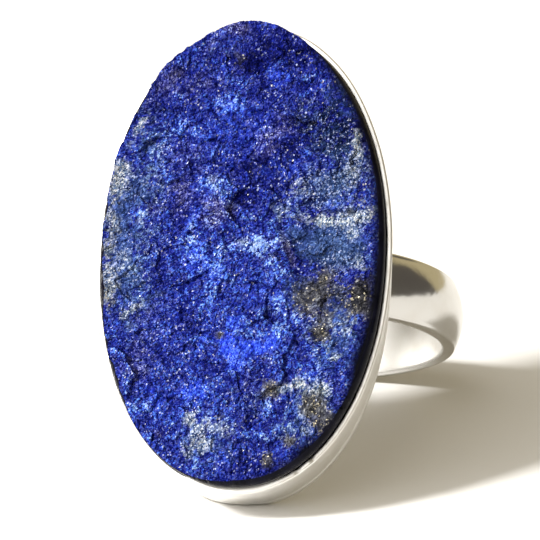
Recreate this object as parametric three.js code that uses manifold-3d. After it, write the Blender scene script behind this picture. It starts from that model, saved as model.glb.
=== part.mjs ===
// A finger ring with an oval slab of rough lapis lazuli in a plain silver cup.
// Millimetres, +Z up. The ring leans back on a table: it rests on the lower end of
// the cup and on the rear of the band, each with a small flat, and the stone's rough
// face looks along -Y and up. The ring itself is built in a frame of its own, with x to
// the stone's right, y along its length and z out of its face, and is then leaned back.
import * as THREE from 'three';
import { mergeVertices } from 'three/addons/utils/BufferGeometryUtils.js';
import Module from 'manifold-3d';

const wasm = await Module();
wasm.setup();

// Cup: the opening that holds the stone, measured inside the rim.
const OPENING_HALF_WIDTH = 7.22;
const OPENING_HALF_LENGTH = 11.82;
const RIM_THICKNESS = 0.28;
const RIM_ROUNDING = 0.09;
const RIM_CORNER_CUT = 0.03;
const OVAL_FULLNESS = 2.1;
const CUP_HEIGHT = 4.0;
const PLATE_THICKNESS = 0.5;
const PLATE_LIP = 0.08;
const BASE_NARROWING_AT_SIDES = 0.44;
const BASE_NARROWING_AT_ENDS = 0.08;
const BASE_FULLNESS = 2.16;
const CUP_SEGMENTS = 96;

// Band.
const FINGER_HOLE_DIAMETER = 17.5;
const BAND_WIDTH = 3.5;
const BAND_THICKNESS = 1.12;
const BAND_EDGE_THICKNESS = 0.72;
const BAND_EDGE_ROUNDING = 0.16;
const BAND_DOME_STEPS = 6;
const BAND_SEGMENTS = 96;
const HOLE_BEHIND_PLATE = 0.25;
const BAND_ENDS_APART = 5.6;
const SOLDER_GAP = 0.3;

// Stone.
const STONE_CLEARANCE = 0.25;
const STONE_BELOW_RIM = 3.2;
const FACE_RISE = 0.85;
const FACE_GRID = 46;
const EDGE_SHARE_OF_RISE = 0.35;
const EDGE_SETTLES_OVER = 0.12;
const EDGE_DRAWN_IN_FROM = 0.6;
const EDGE_ROUNDING = 0.02;
const BEVEL_WIDTH = 0.26;
const BEVEL_FACING = THREE.MathUtils.degToRad(-18);
const BEVEL_ENDS_AT = [-0.15, 0.45];
const CHIPS = { cell: 1.5, height: 0.2, seed: 51 };
const CHIPS_FACING = THREE.MathUtils.degToRad(165);
const CHIPS_END_AT = [0.2, 0.7];

// The top end of the stone rises, and leans out a little over the rim.
const TOP_END_RISE = 0.5;
const TOP_END_STARTS_AT = 8.5;
const TOP_END_LENGTH = 3.3;
const TOP_END_OVERHANG = 0.2;
const TOP_END_FACING = THREE.MathUtils.degToRad(87);
const TOP_END_ENDS_AT = [0.95, 0.995];

// Depth of the flats that the ring rests on.
const REST_FLAT_DEPTH = 0.12;

// Forms of the rough face, placed from the stone's centre. Each raised form is a slab
// with one steep side: a ledge line from start to end, high on its right-hand side as
// one looks from start to end, and fading out over its reach.
const LEDGES = [
  { start: [-3.3, 0.3], end: [-1.4, 3.4], height: 0.24, reach: 3.4 },
  { start: [-1.4, 3.4], end: [2.0, 0.9], height: 0.21, reach: 2.8 },
  { start: [2.0, 0.9], end: [2.9, -1.6], height: 0.21, reach: 3.0 },
  { start: [0.4, -6.0], end: [-0.9, -4.3], height: 0.21, reach: 2.4 },
  { start: [-0.9, -4.3], end: [1.9, -3.6], height: 0.17, reach: 2.2 },
  { start: [-5.9, -6.3], end: [-3.0, -4.4], height: 0.14, reach: 2.6 },
  { start: [-4.4, 5.6], end: [-1.2, 8.2], height: 0.15, reach: 3.0 },
  { start: [1.2, 7.6], end: [4.6, 4.4], height: 0.14, reach: 2.8 },
];
const LEDGE_SOFTNESS = 0.4;
const MOUNDS = [
  { centre: [0.2, 0.5], radius: 1.5, height: 0.2 },
  { centre: [-4.6, -1.4], radius: 2.0, height: 0.16 },
  { centre: [3.4, -4.6], radius: 1.6, height: 0.18 },
  { centre: [1.4, 4.9], radius: 1.9, height: 0.18 },
  { centre: [-1.6, -9.3], radius: 1.7, height: 0.16 },
  { centre: [4.0, 1.4], radius: 1.5, height: -0.26 },
  { centre: [3.9, -1.6], radius: 1.1, height: -0.2 },
  { centre: [0.6, 9.7], radius: 1.2, height: -0.2 },
  { centre: [-2.2, -3.2], radius: 1.0, height: -0.16 },
  { centre: [1.1, -7.4], radius: 1.2, height: -0.16 },
];
const SWELLS = { cell: 4.2, height: 0.2, seed: 3 };
const LUMPS = { cell: 1.5, height: 0.11, seed: 11 };
const GRAINS = { cell: 0.7, height: 0.06, seed: 23 };
const FACETS = { cell: 1.9, slope: 0.12, step: 0.07, seed: 37 };
const FACET_JITTER = 0.45;
const MOUND_SPREAD = 1.6;

// A fixed scatter value from -1 to 1 for each lattice point.
function scatter(i, j, seed) {
  const wave = Math.sin(i * 127.1 + j * 311.7 + seed * 74.7) * 43758.5453;
  return (wave - Math.floor(wave)) * 2 - 1;
}

function ease(t) {
  const s = THREE.MathUtils.clamp(t, 0, 1);
  return s * s * (3 - 2 * s);
}

function mix(a, b, t) {
  return a + (b - a) * t;
}

// Smooth bumps of one size, eased between scattered lattice heights.
function bumps(x, y, { cell, height, seed }) {
  const i = Math.floor(x / cell);
  const j = Math.floor(y / cell);
  const s = ease(x / cell - i);
  const t = ease(y / cell - j);
  const near = mix(scatter(i, j, seed), scatter(i + 1, j, seed), s);
  const far = mix(scatter(i, j + 1, seed), scatter(i + 1, j + 1, seed), s);
  return height * mix(near, far, t);
}

// Flat fracture facets: each cell of a jittered lattice is a small tilted plane.
function facets(x, y, { cell, slope, step, seed }) {
  const column = Math.floor(x / cell);
  const row = Math.floor(y / cell);
  let best = { distance: Infinity, height: 0 };
  for (let i = column - 1; i <= column + 1; i += 1) {
    for (let j = row - 1; j <= row + 1; j += 1) {
      const centreX = (i + 0.5 + FACET_JITTER * scatter(i, j, seed)) * cell;
      const centreY = (j + 0.5 + FACET_JITTER * scatter(i, j, seed + 1)) * cell;
      const distance = Math.hypot(x - centreX, y - centreY);
      if (distance < best.distance) {
        const rise = slope * (scatter(i, j, seed + 2) * (x - centreX)
          + scatter(i, j, seed + 3) * (y - centreY));
        best = { distance, height: rise + step * scatter(i, j, seed + 4) };
      }
    }
  }
  return best.height;
}

function ledgeHeight(x, y, { start, end, height, reach }) {
  const alongX = end[0] - start[0];
  const alongY = end[1] - start[1];
  const length = Math.hypot(alongX, alongY);
  const along = ((x - start[0]) * alongX + (y - start[1]) * alongY) / length;
  const across = ((x - start[0]) * alongY - (y - start[1]) * alongX) / length;
  const beyondEnd = Math.max(-along, along - length, 0);
  const side = ease(across / LEDGE_SOFTNESS + 0.5);
  const fade = ease(1 - Math.max(across, 0) / reach) * ease(1 - beyondEnd / (0.5 * reach));
  return height * side * fade;
}

function moundHeight(x, y, { centre, radius, height }) {
  const distance = Math.hypot(x - centre[0], y - centre[1]);
  return height * ease(1 - distance / (MOUND_SPREAD * radius));
}

// Height of the rough face over its mean level.
function faceRelief(x, y) {
  let height = bumps(x, y, SWELLS) + bumps(x, y, LUMPS) + bumps(x, y, GRAINS);
  height += facets(x, y, FACETS);
  for (const ledge of LEDGES) {
    height += ledgeHeight(x, y, ledge);
  }
  for (const mound of MOUNDS) {
    height += moundHeight(x, y, mound);
  }
  return height;
}

// A point of a full oval, a little squarer than an ellipse when fullness is over 2.
function ovalPoint(halfWidth, halfLength, fullness, angle) {
  const c = Math.cos(angle);
  const s = Math.sin(angle);
  const size = (Math.abs(c) ** fullness + Math.abs(s) ** fullness) ** (-1 / fullness);
  return [halfWidth * c * size, halfLength * s * size];
}

function solidOf(positions, index) {
  const geometry = new THREE.BufferGeometry();
  geometry.setAttribute('position', new THREE.Float32BufferAttribute(positions, 3));
  geometry.setIndex(index);
  return geometry;
}

function toManifold(geometry) {
  const bare = geometry.clone();
  bare.deleteAttribute('normal');
  bare.deleteAttribute('uv');
  const merged = mergeVertices(bare);
  const vertProperties = new Float32Array(merged.getAttribute('position').array);
  const triVerts = new Uint32Array(merged.getIndex().array);
  return new wasm.Manifold(new wasm.Mesh({ numProp: 3, vertProperties, triVerts }));
}

function fromManifold(solid) {
  const { vertProperties, triVerts } = solid.getMesh();
  return solidOf(Array.from(vertProperties), Array.from(triVerts));
}

function boxBetween(low, high) {
  const size = high.map((value, axis) => value - low[axis]);
  const box = new THREE.BoxGeometry(...size);
  box.translate(...low.map((value, axis) => value + size[axis] / 2));
  return box;
}

// Where the ring touches the table, in its own frame: the lower end of the plate's
// back edge and the lower rear edge of the band.
const PLATE_BACK = -CUP_HEIGHT;
const BAND_CENTRE = PLATE_BACK - HOLE_BEHIND_PLATE - FINGER_HOLE_DIAMETER / 2;
const BASE_HALF_WIDTH = OPENING_HALF_WIDTH + RIM_THICKNESS - BASE_NARROWING_AT_SIDES;
const BASE_HALF_LENGTH = OPENING_HALF_LENGTH + RIM_THICKNESS - BASE_NARROWING_AT_ENDS;
const FRONT_FOOT = new THREE.Vector2(-BASE_HALF_LENGTH, PLATE_BACK);
const REAR_FOOT = new THREE.Vector2(
  BAND_EDGE_ROUNDING / 2 - BAND_WIDTH / 2,
  BAND_CENTRE - FINGER_HOLE_DIAMETER / 2 - BAND_EDGE_THICKNESS + BAND_EDGE_ROUNDING / 4,
);
const LEAN = Math.atan2(REAR_FOOT.x - FRONT_FOOT.x, FRONT_FOOT.y - REAR_FOOT.y);
const TABLE_REACH = 60;

// The space under the table top, in the ring's own frame: a box turned by the lean.
function tableSpace() {
  const table = boxBetween(
    [-TABLE_REACH, -TABLE_REACH, -TABLE_REACH],
    [TABLE_REACH, REST_FLAT_DEPTH, TABLE_REACH],
  );
  table.rotateX(LEAN);
  table.translate(0, FRONT_FOOT.x, FRONT_FOOT.y);
  return table;
}

function restOnTable(geometry) {
  return fromManifold(toManifold(geometry).subtract(toManifold(tableSpace())));
}

// The cup: rings of points from the middle of the plate's back, out and up the wall,
// over the rim and down inside to the middle of its floor.
function cupGeometry() {
  const wallTop = -RIM_ROUNDING;
  const plateTop = PLATE_BACK + PLATE_THICKNESS;
  const outerWidth = OPENING_HALF_WIDTH + RIM_THICKNESS;
  const outerLength = OPENING_HALF_LENGTH + RIM_THICKNESS;
  const innerBaseWidth = BASE_HALF_WIDTH - PLATE_LIP - RIM_THICKNESS;
  const innerBaseLength = BASE_HALF_LENGTH - PLATE_LIP - RIM_THICKNESS;
  const levels = [
    [BASE_HALF_WIDTH, BASE_HALF_LENGTH, BASE_FULLNESS, PLATE_BACK],
    [BASE_HALF_WIDTH, BASE_HALF_LENGTH, BASE_FULLNESS, plateTop - PLATE_LIP],
    [BASE_HALF_WIDTH - PLATE_LIP, BASE_HALF_LENGTH - PLATE_LIP, BASE_FULLNESS, plateTop],
    [outerWidth, outerLength, OVAL_FULLNESS, wallTop],
    [outerWidth - RIM_CORNER_CUT, outerLength - RIM_CORNER_CUT, OVAL_FULLNESS, -RIM_CORNER_CUT],
    [outerWidth - RIM_ROUNDING, outerLength - RIM_ROUNDING, OVAL_FULLNESS, 0],
    [OPENING_HALF_WIDTH, OPENING_HALF_LENGTH, OVAL_FULLNESS, 0],
    [innerBaseWidth, innerBaseLength, BASE_FULLNESS, plateTop],
  ];
  const positions = [0, 0, PLATE_BACK];
  for (const [halfWidth, halfLength, fullness, height] of levels) {
    for (let k = 0; k < CUP_SEGMENTS; k += 1) {
      const [x, y] = ovalPoint(halfWidth, halfLength, fullness, (2 * Math.PI * k) / CUP_SEGMENTS);
      positions.push(x, y, height);
    }
  }
  positions.push(0, 0, plateTop);
  const floorCentre = positions.length / 3 - 1;
  const at = (level, k) => 1 + level * CUP_SEGMENTS + (k % CUP_SEGMENTS);
  const index = [];
  for (let k = 0; k < CUP_SEGMENTS; k += 1) {
    index.push(0, at(0, k + 1), at(0, k));
    for (let level = 0; level < levels.length - 1; level += 1) {
      index.push(at(level, k), at(level, k + 1), at(level + 1, k + 1));
      index.push(at(level, k), at(level + 1, k + 1), at(level + 1, k));
    }
    index.push(at(levels.length - 1, k), at(levels.length - 1, k + 1), floorCentre);
  }
  return restOnTable(solidOf(positions, index));
}

// The band's section, as radius and height: flat inside, low domed outside.
function bandSection() {
  const inner = FINGER_HOLE_DIAMETER / 2;
  const half = BAND_WIDTH / 2;
  const soft = BAND_EDGE_ROUNDING;
  const edge = inner + BAND_EDGE_THICKNESS;
  const points = [
    new THREE.Vector2(inner, -half + soft),
    new THREE.Vector2(inner + soft, -half),
    new THREE.Vector2(edge - soft, -half),
  ];
  for (let k = 0; k <= BAND_DOME_STEPS; k += 1) {
    const across = (2 * k) / BAND_DOME_STEPS - 1;
    const dome = (BAND_THICKNESS - BAND_EDGE_THICKNESS) * (1 - across * across);
    points.push(new THREE.Vector2(edge + dome, across * (half - soft)));
  }
  points.push(new THREE.Vector2(edge - soft, half));
  points.push(new THREE.Vector2(inner + soft, half));
  points.push(new THREE.Vector2(inner, half - soft));
  points.push(points[0].clone());
  return points;
}

// The band is a hoop opened at the top: its ends stop just short of the plate.
function bandGeometry() {
  const hoop = new THREE.LatheGeometry(bandSection(), BAND_SEGMENTS);
  hoop.translate(0, 0, BAND_CENTRE);
  const reach = FINGER_HOLE_DIAMETER;
  const abovePlate = boxBetween([-reach, -reach, PLATE_BACK - SOLDER_GAP], [reach, reach, reach]);
  const betweenEnds = boxBetween(
    [-BAND_ENDS_APART / 2, -reach, BAND_CENTRE],
    [BAND_ENDS_APART / 2, reach, reach],
  );
  const opened = toManifold(hoop).subtract(toManifold(abovePlate)).subtract(toManifold(betweenEnds));
  return restOnTable(fromManifold(opened));
}

// 1 where the outline faces the middle angle, easing to 0 away from it. The two ends are
// cosines of the angle between.
function facing(angle, middle, [none, full]) {
  return ease((Math.cos(angle - middle) - none) / (full - none));
}

// How far the rough face's edge is drawn in from the stone's side: a ground bevel on
// the right, small chips on the left, and the top end leaning out.
function edgeInset(angle, x, y) {
  const bevel = BEVEL_WIDTH * facing(angle, BEVEL_FACING, BEVEL_ENDS_AT);
  const chip = Math.max(0, bumps(x, y, CHIPS)) * facing(angle, CHIPS_FACING, CHIPS_END_AT);
  const overhang = TOP_END_OVERHANG * facing(angle, TOP_END_FACING, TOP_END_ENDS_AT);
  return bevel + chip + EDGE_ROUNDING - overhang;
}

// Square to disc: keeps the grid's cells even in size out to the oval's edge.
function discPoint(a, b) {
  if (a === 0 && b === 0) {
    return { radius: 0, angle: 0 };
  }
  if (Math.abs(a) > Math.abs(b)) {
    return { radius: Math.abs(a), angle: (Math.PI / 4) * (b / a) + (a < 0 ? Math.PI : 0) };
  }
  return {
    radius: Math.abs(b),
    angle: Math.PI / 2 - (Math.PI / 4) * (a / b) + (b < 0 ? Math.PI : 0),
  };
}

// The stone: a rough face over a smooth side with a flat underside.
function stoneGeometry() {
  const halfWidth = OPENING_HALF_WIDTH - STONE_CLEARANCE;
  const halfLength = OPENING_HALF_LENGTH - STONE_CLEARANCE;
  const footWidth = BASE_HALF_WIDTH - PLATE_LIP - RIM_THICKNESS - STONE_CLEARANCE;
  const footLength = BASE_HALF_LENGTH - PLATE_LIP - RIM_THICKNESS - STONE_CLEARANCE;
  const positions = [];
  const edgeAngles = new Map();
  for (let row = 0; row <= FACE_GRID; row += 1) {
    for (let column = 0; column <= FACE_GRID; column += 1) {
      const { radius, angle } = discPoint((2 * column) / FACE_GRID - 1, (2 * row) / FACE_GRID - 1);
      const [edgeX, edgeY] = ovalPoint(halfWidth, halfLength, OVAL_FULLNESS, angle);
      const inset = edgeInset(angle, edgeX, edgeY);
      const drawnIn = ease((radius - EDGE_DRAWN_IN_FROM) / (1 - EDGE_DRAWN_IN_FROM));
      const shrink = 1 - (inset / Math.hypot(edgeX, edgeY)) * drawnIn;
      const x = edgeX * radius * shrink;
      const y = edgeY * radius * shrink;
      const settle = ease((1 - radius) / EDGE_SETTLES_OVER);
      const topEnd = TOP_END_RISE * ease((y - TOP_END_STARTS_AT) / TOP_END_LENGTH);
      const relief = faceRelief(x, y) * mix(EDGE_SHARE_OF_RISE, 1, settle);
      positions.push(x, y, FACE_RISE + topEnd + relief);
      edgeAngles.set(row * (FACE_GRID + 1) + column, angle);
    }
  }
  const index = [];
  const at = (column, row) => row * (FACE_GRID + 1) + column;
  for (let row = 0; row < FACE_GRID; row += 1) {
    for (let column = 0; column < FACE_GRID; column += 1) {
      const a = at(column, row);
      const b = at(column + 1, row);
      const c = at(column + 1, row + 1);
      const d = at(column, row + 1);
      if ((row < FACE_GRID / 2) === (column < FACE_GRID / 2)) {
        index.push(a, b, c, a, c, d);
      } else {
        index.push(a, b, d, b, c, d);
      }
    }
  }
  const rim = [];
  for (let k = 0; k < FACE_GRID; k += 1) {
    rim.push(at(k, 0));
  }
  for (let k = 0; k < FACE_GRID; k += 1) {
    rim.push(at(FACE_GRID, k));
  }
  for (let k = 0; k < FACE_GRID; k += 1) {
    rim.push(at(FACE_GRID - k, FACE_GRID));
  }
  for (let k = 0; k < FACE_GRID; k += 1) {
    rim.push(at(0, FACE_GRID - k));
  }
  const sides = [
    [halfWidth, halfLength, OVAL_FULLNESS, EDGE_SHARE_OF_RISE * FACE_RISE],
    [footWidth, footLength, BASE_FULLNESS, -STONE_BELOW_RIM],
  ];
  let above = rim;
  for (const [width, length, fullness, height] of sides) {
    const below = rim.map((vertex) => {
      const [x, y] = ovalPoint(width, length, fullness, edgeAngles.get(vertex));
      positions.push(x, y, height);
      return positions.length / 3 - 1;
    });
    for (let k = 0; k < rim.length; k += 1) {
      const next = (k + 1) % rim.length;
      index.push(above[k], below[k], below[next]);
      index.push(above[k], below[next], above[next]);
    }
    above = below;
  }
  positions.push(0, 0, -STONE_BELOW_RIM);
  const footCentre = positions.length / 3 - 1;
  for (let k = 0; k < rim.length; k += 1) {
    index.push(above[(k + 1) % rim.length], above[k], footCentre);
  }
  return solidOf(positions, index);
}

function lapis() {
  return new THREE.MeshStandardMaterial({ color: 0x24369b, roughness: 0.8, metalness: 0 });
}

function silver() {
  return new THREE.MeshStandardMaterial({ color: 0xdedbd4, roughness: 0.18, metalness: 1 });
}

function piece(name, geometry, material) {
  const faceted = geometry.toNonIndexed();
  faceted.computeVertexNormals();
  const mesh = new THREE.Mesh(faceted, material);
  mesh.name = name;
  return mesh;
}

// Leans the ring back and stands it with the middle of its box's floor at the origin.
function leaningRing() {
  const ring = new THREE.Group();
  ring.add(piece('lapis_stone', stoneGeometry(), lapis()));
  ring.add(piece('bezel_cup', cupGeometry(), silver()));
  ring.add(piece('ring_band', bandGeometry(), silver()));
  ring.rotation.x = Math.PI / 2 - LEAN;
  ring.updateMatrixWorld(true);
  const box = new THREE.Box3().setFromObject(ring, true);
  ring.position.set(-(box.min.x + box.max.x) / 2, -(box.min.y + box.max.y) / 2, -box.min.z);
  const part = new THREE.Group();
  part.add(ring);
  return part;
}

const group = leaningRing();
export default group;
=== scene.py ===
# Looks for the rough lapis lazuli ring: a granular fracture face with its blues, pale
# calcite and pyrite, the stone's polished side painted near black, partly as shade, a plain
# silver cup and a low domed silver band. The ring leans back on a pale table.
import math

import bpy
import numpy as np
from mathutils import Matrix, Vector


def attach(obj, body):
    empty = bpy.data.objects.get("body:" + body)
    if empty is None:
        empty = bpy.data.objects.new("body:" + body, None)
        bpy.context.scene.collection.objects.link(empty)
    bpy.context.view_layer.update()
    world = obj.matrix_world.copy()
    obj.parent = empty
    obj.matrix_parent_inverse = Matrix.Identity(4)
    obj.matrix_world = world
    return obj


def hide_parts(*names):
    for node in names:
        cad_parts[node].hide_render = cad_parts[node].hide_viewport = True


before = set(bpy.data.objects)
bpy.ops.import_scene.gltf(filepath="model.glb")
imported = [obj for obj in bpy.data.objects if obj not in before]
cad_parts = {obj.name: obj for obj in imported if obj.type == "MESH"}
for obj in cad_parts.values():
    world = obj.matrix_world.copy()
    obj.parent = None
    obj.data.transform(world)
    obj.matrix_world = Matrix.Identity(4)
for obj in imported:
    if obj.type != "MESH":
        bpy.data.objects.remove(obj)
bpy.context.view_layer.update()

MM = 0.001

# Cup, in millimetres: the part's driving sizes, with a finer lip round the plate.
OPENING_HALF_WIDTH = 7.22
OPENING_HALF_LENGTH = 11.82
RIM_THICKNESS = 0.28
RIM_ROUNDING = 0.09
RIM_INNER_ROUNDING = 0.05
RIM_INNER_DEPTH = 1.0
OVAL_FULLNESS = 2.1
CUP_HEIGHT = 4.0
WALL_LEVELS = 14
WALL_FOOT_INSET = 0.02
WALL_STARTS_AT = 0.02
PLATE_THICKNESS = 0.5
PLATE_LIP = 0.02
PLATE_EDGE_ROUNDING = 0.07
PLATE_RING_INSETS = (6.0, 2.0, 0.4)
FLOOR_OVER_PLATE = 0.15
BASE_NARROWING_AT_SIDES = 0.44
BASE_NARROWING_AT_ENDS = 0.08
BASE_FULLNESS = 2.16
CUP_SEGMENTS = 400
SHARP_EDGE = math.radians(50)

# Band.
FINGER_HOLE_DIAMETER = 17.5
BAND_WIDTH = 3.5
BAND_THICKNESS = 1.12
BAND_EDGE_THICKNESS = 0.72
BAND_EDGE_ROUNDING = 0.16
BAND_SEGMENTS = 300
BAND_CORNER_STEPS = 5
BAND_DOME_STEPS = 24
BAND_INSIDE_STEPS = 8
HOLE_BEHIND_PLATE = 0.25
BAND_ENDS_APART = 5.6
SOLDER_HEIGHT = 0.55
SOLDER_SPREAD = 0.32
SOLDER_WIDENING = 0.1

# Stone.
STONE_SEAT_GAP = 0.02
STONE_BELOW_RIM = 3.2
FACE_RISE = 0.85
FACE_COLUMNS = 228
FACE_ROWS = 372
EDGE_SHARE_OF_RELIEF = 0.35
EDGE_SETTLES_OVER = 0.12
EDGE_DRAWN_IN_FROM = 0.6
EDGE_ROUNDING = 0.02
SIDE_STARTS_AT = 0.42 * FACE_RISE
SIDE_STRAIGHT_FROM = 0.3 * FACE_RISE
BEVEL_WIDTH = 0.24
BEVEL_FACING = math.radians(-18)
BEVEL_ENDS_AT = (-0.15, 0.45)
CHIP_DEPTH = 0.2
CHIPS = [{"cell": 1.1, "height": 1.0, "seed": 51}, {"cell": 0.4, "height": 0.45, "seed": 53}]
CHIPS_FACING = math.radians(165)
CHIPS_END_AT = (0.2, 0.7)
TOP_END_RISE = 0.5
TOP_END_STARTS_AT = 8.5
TOP_END_LENGTH = 3.3
TOP_END_OVERHANG = 0.2
TOP_END_FACING = math.radians(87)
TOP_END_ENDS_AT = (0.965, 0.998)
POLISH_DEPTH = 0.12
POLISH_SMOOTHING = 0.96
POLISH_RAGGEDNESS = 0.12
POLISH_FADES_OVER = 0.85
POLISH_THIN_BELOW = 0.2

# Round the outline, by angle from the stone's right: how wide the ground and polished
# border of the face is, and how far the broken left edge stands back. The border is
# painted near black, partly as shade where it turns from the light.
POLISHED_BORDER = [
    (-95, 0.0), (-85, 0.1), (-75, 0.34), (-60, 0.9), (-50, 0.55), (-40, 0.5), (-30, 0.95),
    (-15, 0.9), (0, 0.8), (15, 0.75), (30, 0.75), (50, 0.68), (60, 0.55), (72, 0.0),
]
EDGE_SETBACK = [
    (70, 0.0), (80, 0.1), (90, 0.04), (100, 0.08), (110, 0.15), (120, 0.05), (130, 0.04),
    (140, 0.09), (150, 0.11), (160, 0.0), (170, 0.07), (180, 0.17), (190, 0.32), (200, 0.12),
    (210, 0.15), (220, 0.06), (230, 0.0),
]

# How the ring stands: it leans on the lower end of its plate and the rear of its band.
PLATE_BACK = -CUP_HEIGHT
BAND_CENTRE = PLATE_BACK - HOLE_BEHIND_PLATE - FINGER_HOLE_DIAMETER / 2
BASE_HALF_WIDTH = OPENING_HALF_WIDTH + RIM_THICKNESS - BASE_NARROWING_AT_SIDES
BASE_HALF_LENGTH = OPENING_HALF_LENGTH + RIM_THICKNESS - BASE_NARROWING_AT_ENDS
REAR_FOOT_Y = BAND_EDGE_ROUNDING / 2 - BAND_WIDTH / 2
REAR_FOOT_Z = (
    BAND_CENTRE - FINGER_HOLE_DIAMETER / 2 - BAND_EDGE_THICKNESS + BAND_EDGE_ROUNDING / 4
)
LEAN = math.atan2(REAR_FOOT_Y + BASE_HALF_LENGTH, PLATE_BACK - REAR_FOOT_Z)
RING_TURN = math.pi / 2 - LEAN


def ring_place():
    """The matrix that takes ring millimetres to the frame's metres, found from the CAD cup."""
    turn = Matrix.Rotation(RING_TURN, 4, "X")
    back = turn.inverted()
    corners = [back @ vertex.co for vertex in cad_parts["bezel_cup"].data.vertices]
    top = max(corner.z for corner in corners)
    far_end = max(corner.y for corner in corners)
    centre = Vector((0, far_end - (OPENING_HALF_LENGTH + RIM_THICKNESS) * MM, top))
    return Matrix.Translation(turn @ centre) @ turn @ Matrix.Scale(MM, 4)


RING = ring_place()


# Forms of the rough face, placed from the stone's centre. Each ledge is high on its
# right-hand side, as one looks from start to end, and fades out over its reach.
LEDGES = [
    {"start": (-3.3, 0.3), "end": (-1.4, 3.4), "height": 0.24, "reach": 3.4},
    {"start": (-1.4, 3.4), "end": (2.0, 0.9), "height": 0.21, "reach": 2.8},
    {"start": (2.0, 0.9), "end": (2.9, -1.6), "height": 0.21, "reach": 3.0},
    {"start": (0.4, -6.0), "end": (-0.9, -4.3), "height": 0.21, "reach": 2.4},
    {"start": (-0.9, -4.3), "end": (1.9, -3.6), "height": 0.17, "reach": 2.2},
    {"start": (-5.9, -6.3), "end": (-3.0, -4.4), "height": 0.14, "reach": 2.6},
    {"start": (-4.4, 5.6), "end": (-1.2, 8.2), "height": 0.15, "reach": 3.0},
    {"start": (1.2, 7.6), "end": (4.6, 4.4), "height": 0.14, "reach": 2.8},
]
LEDGE_SOFTNESS = 0.4
MOUND_SPREAD = 1.6
MOUNDS = [
    {"centre": (0.2, 0.5), "radius": 1.5, "height": 0.2},
    {"centre": (-4.6, -1.4), "radius": 2.0, "height": 0.16},
    {"centre": (3.4, -4.6), "radius": 1.6, "height": 0.18},
    {"centre": (1.4, 4.9), "radius": 1.9, "height": 0.18},
    {"centre": (-1.6, -9.3), "radius": 1.7, "height": 0.16},
    {"centre": (4.0, 1.4), "radius": 1.5, "height": -0.26},
    {"centre": (3.9, -1.6), "radius": 1.1, "height": -0.2},
    {"centre": (0.6, 9.7), "radius": 1.2, "height": -0.2},
    {"centre": (-2.2, -3.2), "radius": 1.0, "height": -0.16},
    {"centre": (1.1, -7.4), "radius": 1.2, "height": -0.16},
]
SWELLS = {"cell": 4.2, "height": 0.2, "seed": 3}
LUMPS = {"cell": 1.5, "height": 0.11, "seed": 11}
GRAINS = {"cell": 0.7, "height": 0.06, "seed": 23}
FACETS = {"cell": 1.9, "slope": 0.12, "step": 0.07, "seed": 37}
CELL_JITTER = 0.45

# How far the borders of large and of fine facets wander, and over what lengths.
FACET_WANDER = 0.3
FINE_WANDER = 0.16
WANDER_CELL = 0.9
WANDER_SMALL_CELL = 0.3
WANDER_SMALL_SHARE = 0.3
WANDER_SEED = 101

# Finer fracture detail than the CAD solid carries.
FINE_BUMPS = [
    {"cell": 0.42, "height": 0.035, "seed": 61},
    {"cell": 0.2, "height": 0.024, "seed": 67},
    {"cell": 0.11, "height": 0.012, "seed": 69},
]
FINE_FACETS = [
    {"cell": 0.8, "slope": 0.16, "step": 0.01, "seed": 71},
    {"cell": 0.33, "slope": 0.27, "step": 0.008, "seed": 83},
    {"cell": 0.16, "slope": 0.46, "step": 0.006, "seed": 97},
]


def scatter(i, j, seed):
    """A fixed scatter value from -1 to 1 for each lattice point."""
    wave = np.sin(i * 127.1 + j * 311.7 + seed * 74.7) * 43758.5453
    return (wave - np.floor(wave)) * 2 - 1


def ease(t):
    s = np.clip(t, 0, 1)
    return s * s * (3 - 2 * s)


def mix(a, b, t):
    return a + (b - a) * t


def bumps(x, y, cell, height, seed):
    """Smooth bumps of one size, eased between scattered lattice heights."""
    i = np.floor(x / cell)
    j = np.floor(y / cell)
    s = ease(x / cell - i)
    t = ease(y / cell - j)
    near = mix(scatter(i, j, seed), scatter(i + 1, j, seed), s)
    far = mix(scatter(i, j + 1, seed), scatter(i + 1, j + 1, seed), s)
    return height * mix(near, far, t)


def layered_bumps(x, y, layers):
    return sum(bumps(x, y, **layer) for layer in layers)


def nearest_cell(x, y, cell, seed):
    """The cell of a jittered lattice that each point lies in: its numbers and centre."""
    column = np.floor(x / cell)
    row = np.floor(y / cell)
    nearest = np.full(x.shape, np.inf)
    found = [np.zeros(x.shape) for _ in range(4)]
    for i_step in (-1, 0, 1):
        for j_step in (-1, 0, 1):
            i = column + i_step
            j = row + j_step
            centre_x = (i + 0.5 + CELL_JITTER * scatter(i, j, seed)) * cell
            centre_y = (j + 0.5 + CELL_JITTER * scatter(i, j, seed + 1)) * cell
            distance = np.hypot(x - centre_x, y - centre_y)
            closer = distance < nearest
            nearest = np.where(closer, distance, nearest)
            values = (i, j, centre_x, centre_y)
            found = [np.where(closer, new, old) for new, old in zip(values, found)]
    return found


def facets(x, y, cell, slope, step, seed):
    """Flat fracture facets: each cell of a jittered lattice is a small tilted plane."""
    i, j, centre_x, centre_y = nearest_cell(x, y, cell, seed)
    lean_x = scatter(i, j, seed + 2) * (x - centre_x)
    lean_y = scatter(i, j, seed + 3) * (y - centre_y)
    return slope * (lean_x + lean_y) + step * scatter(i, j, seed + 4)


def ledge_height(x, y, start, end, height, reach):
    """A slab with one steep side along a line, fading out over its reach."""
    along_x = end[0] - start[0]
    along_y = end[1] - start[1]
    length = math.hypot(along_x, along_y)
    along = ((x - start[0]) * along_x + (y - start[1]) * along_y) / length
    across = ((x - start[0]) * along_y - (y - start[1]) * along_x) / length
    beyond_end = np.maximum(np.maximum(-along, along - length), 0)
    side = ease(across / LEDGE_SOFTNESS + 0.5)
    fade = ease(1 - np.maximum(across, 0) / reach) * ease(1 - beyond_end / (0.5 * reach))
    return height * side * fade


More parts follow.
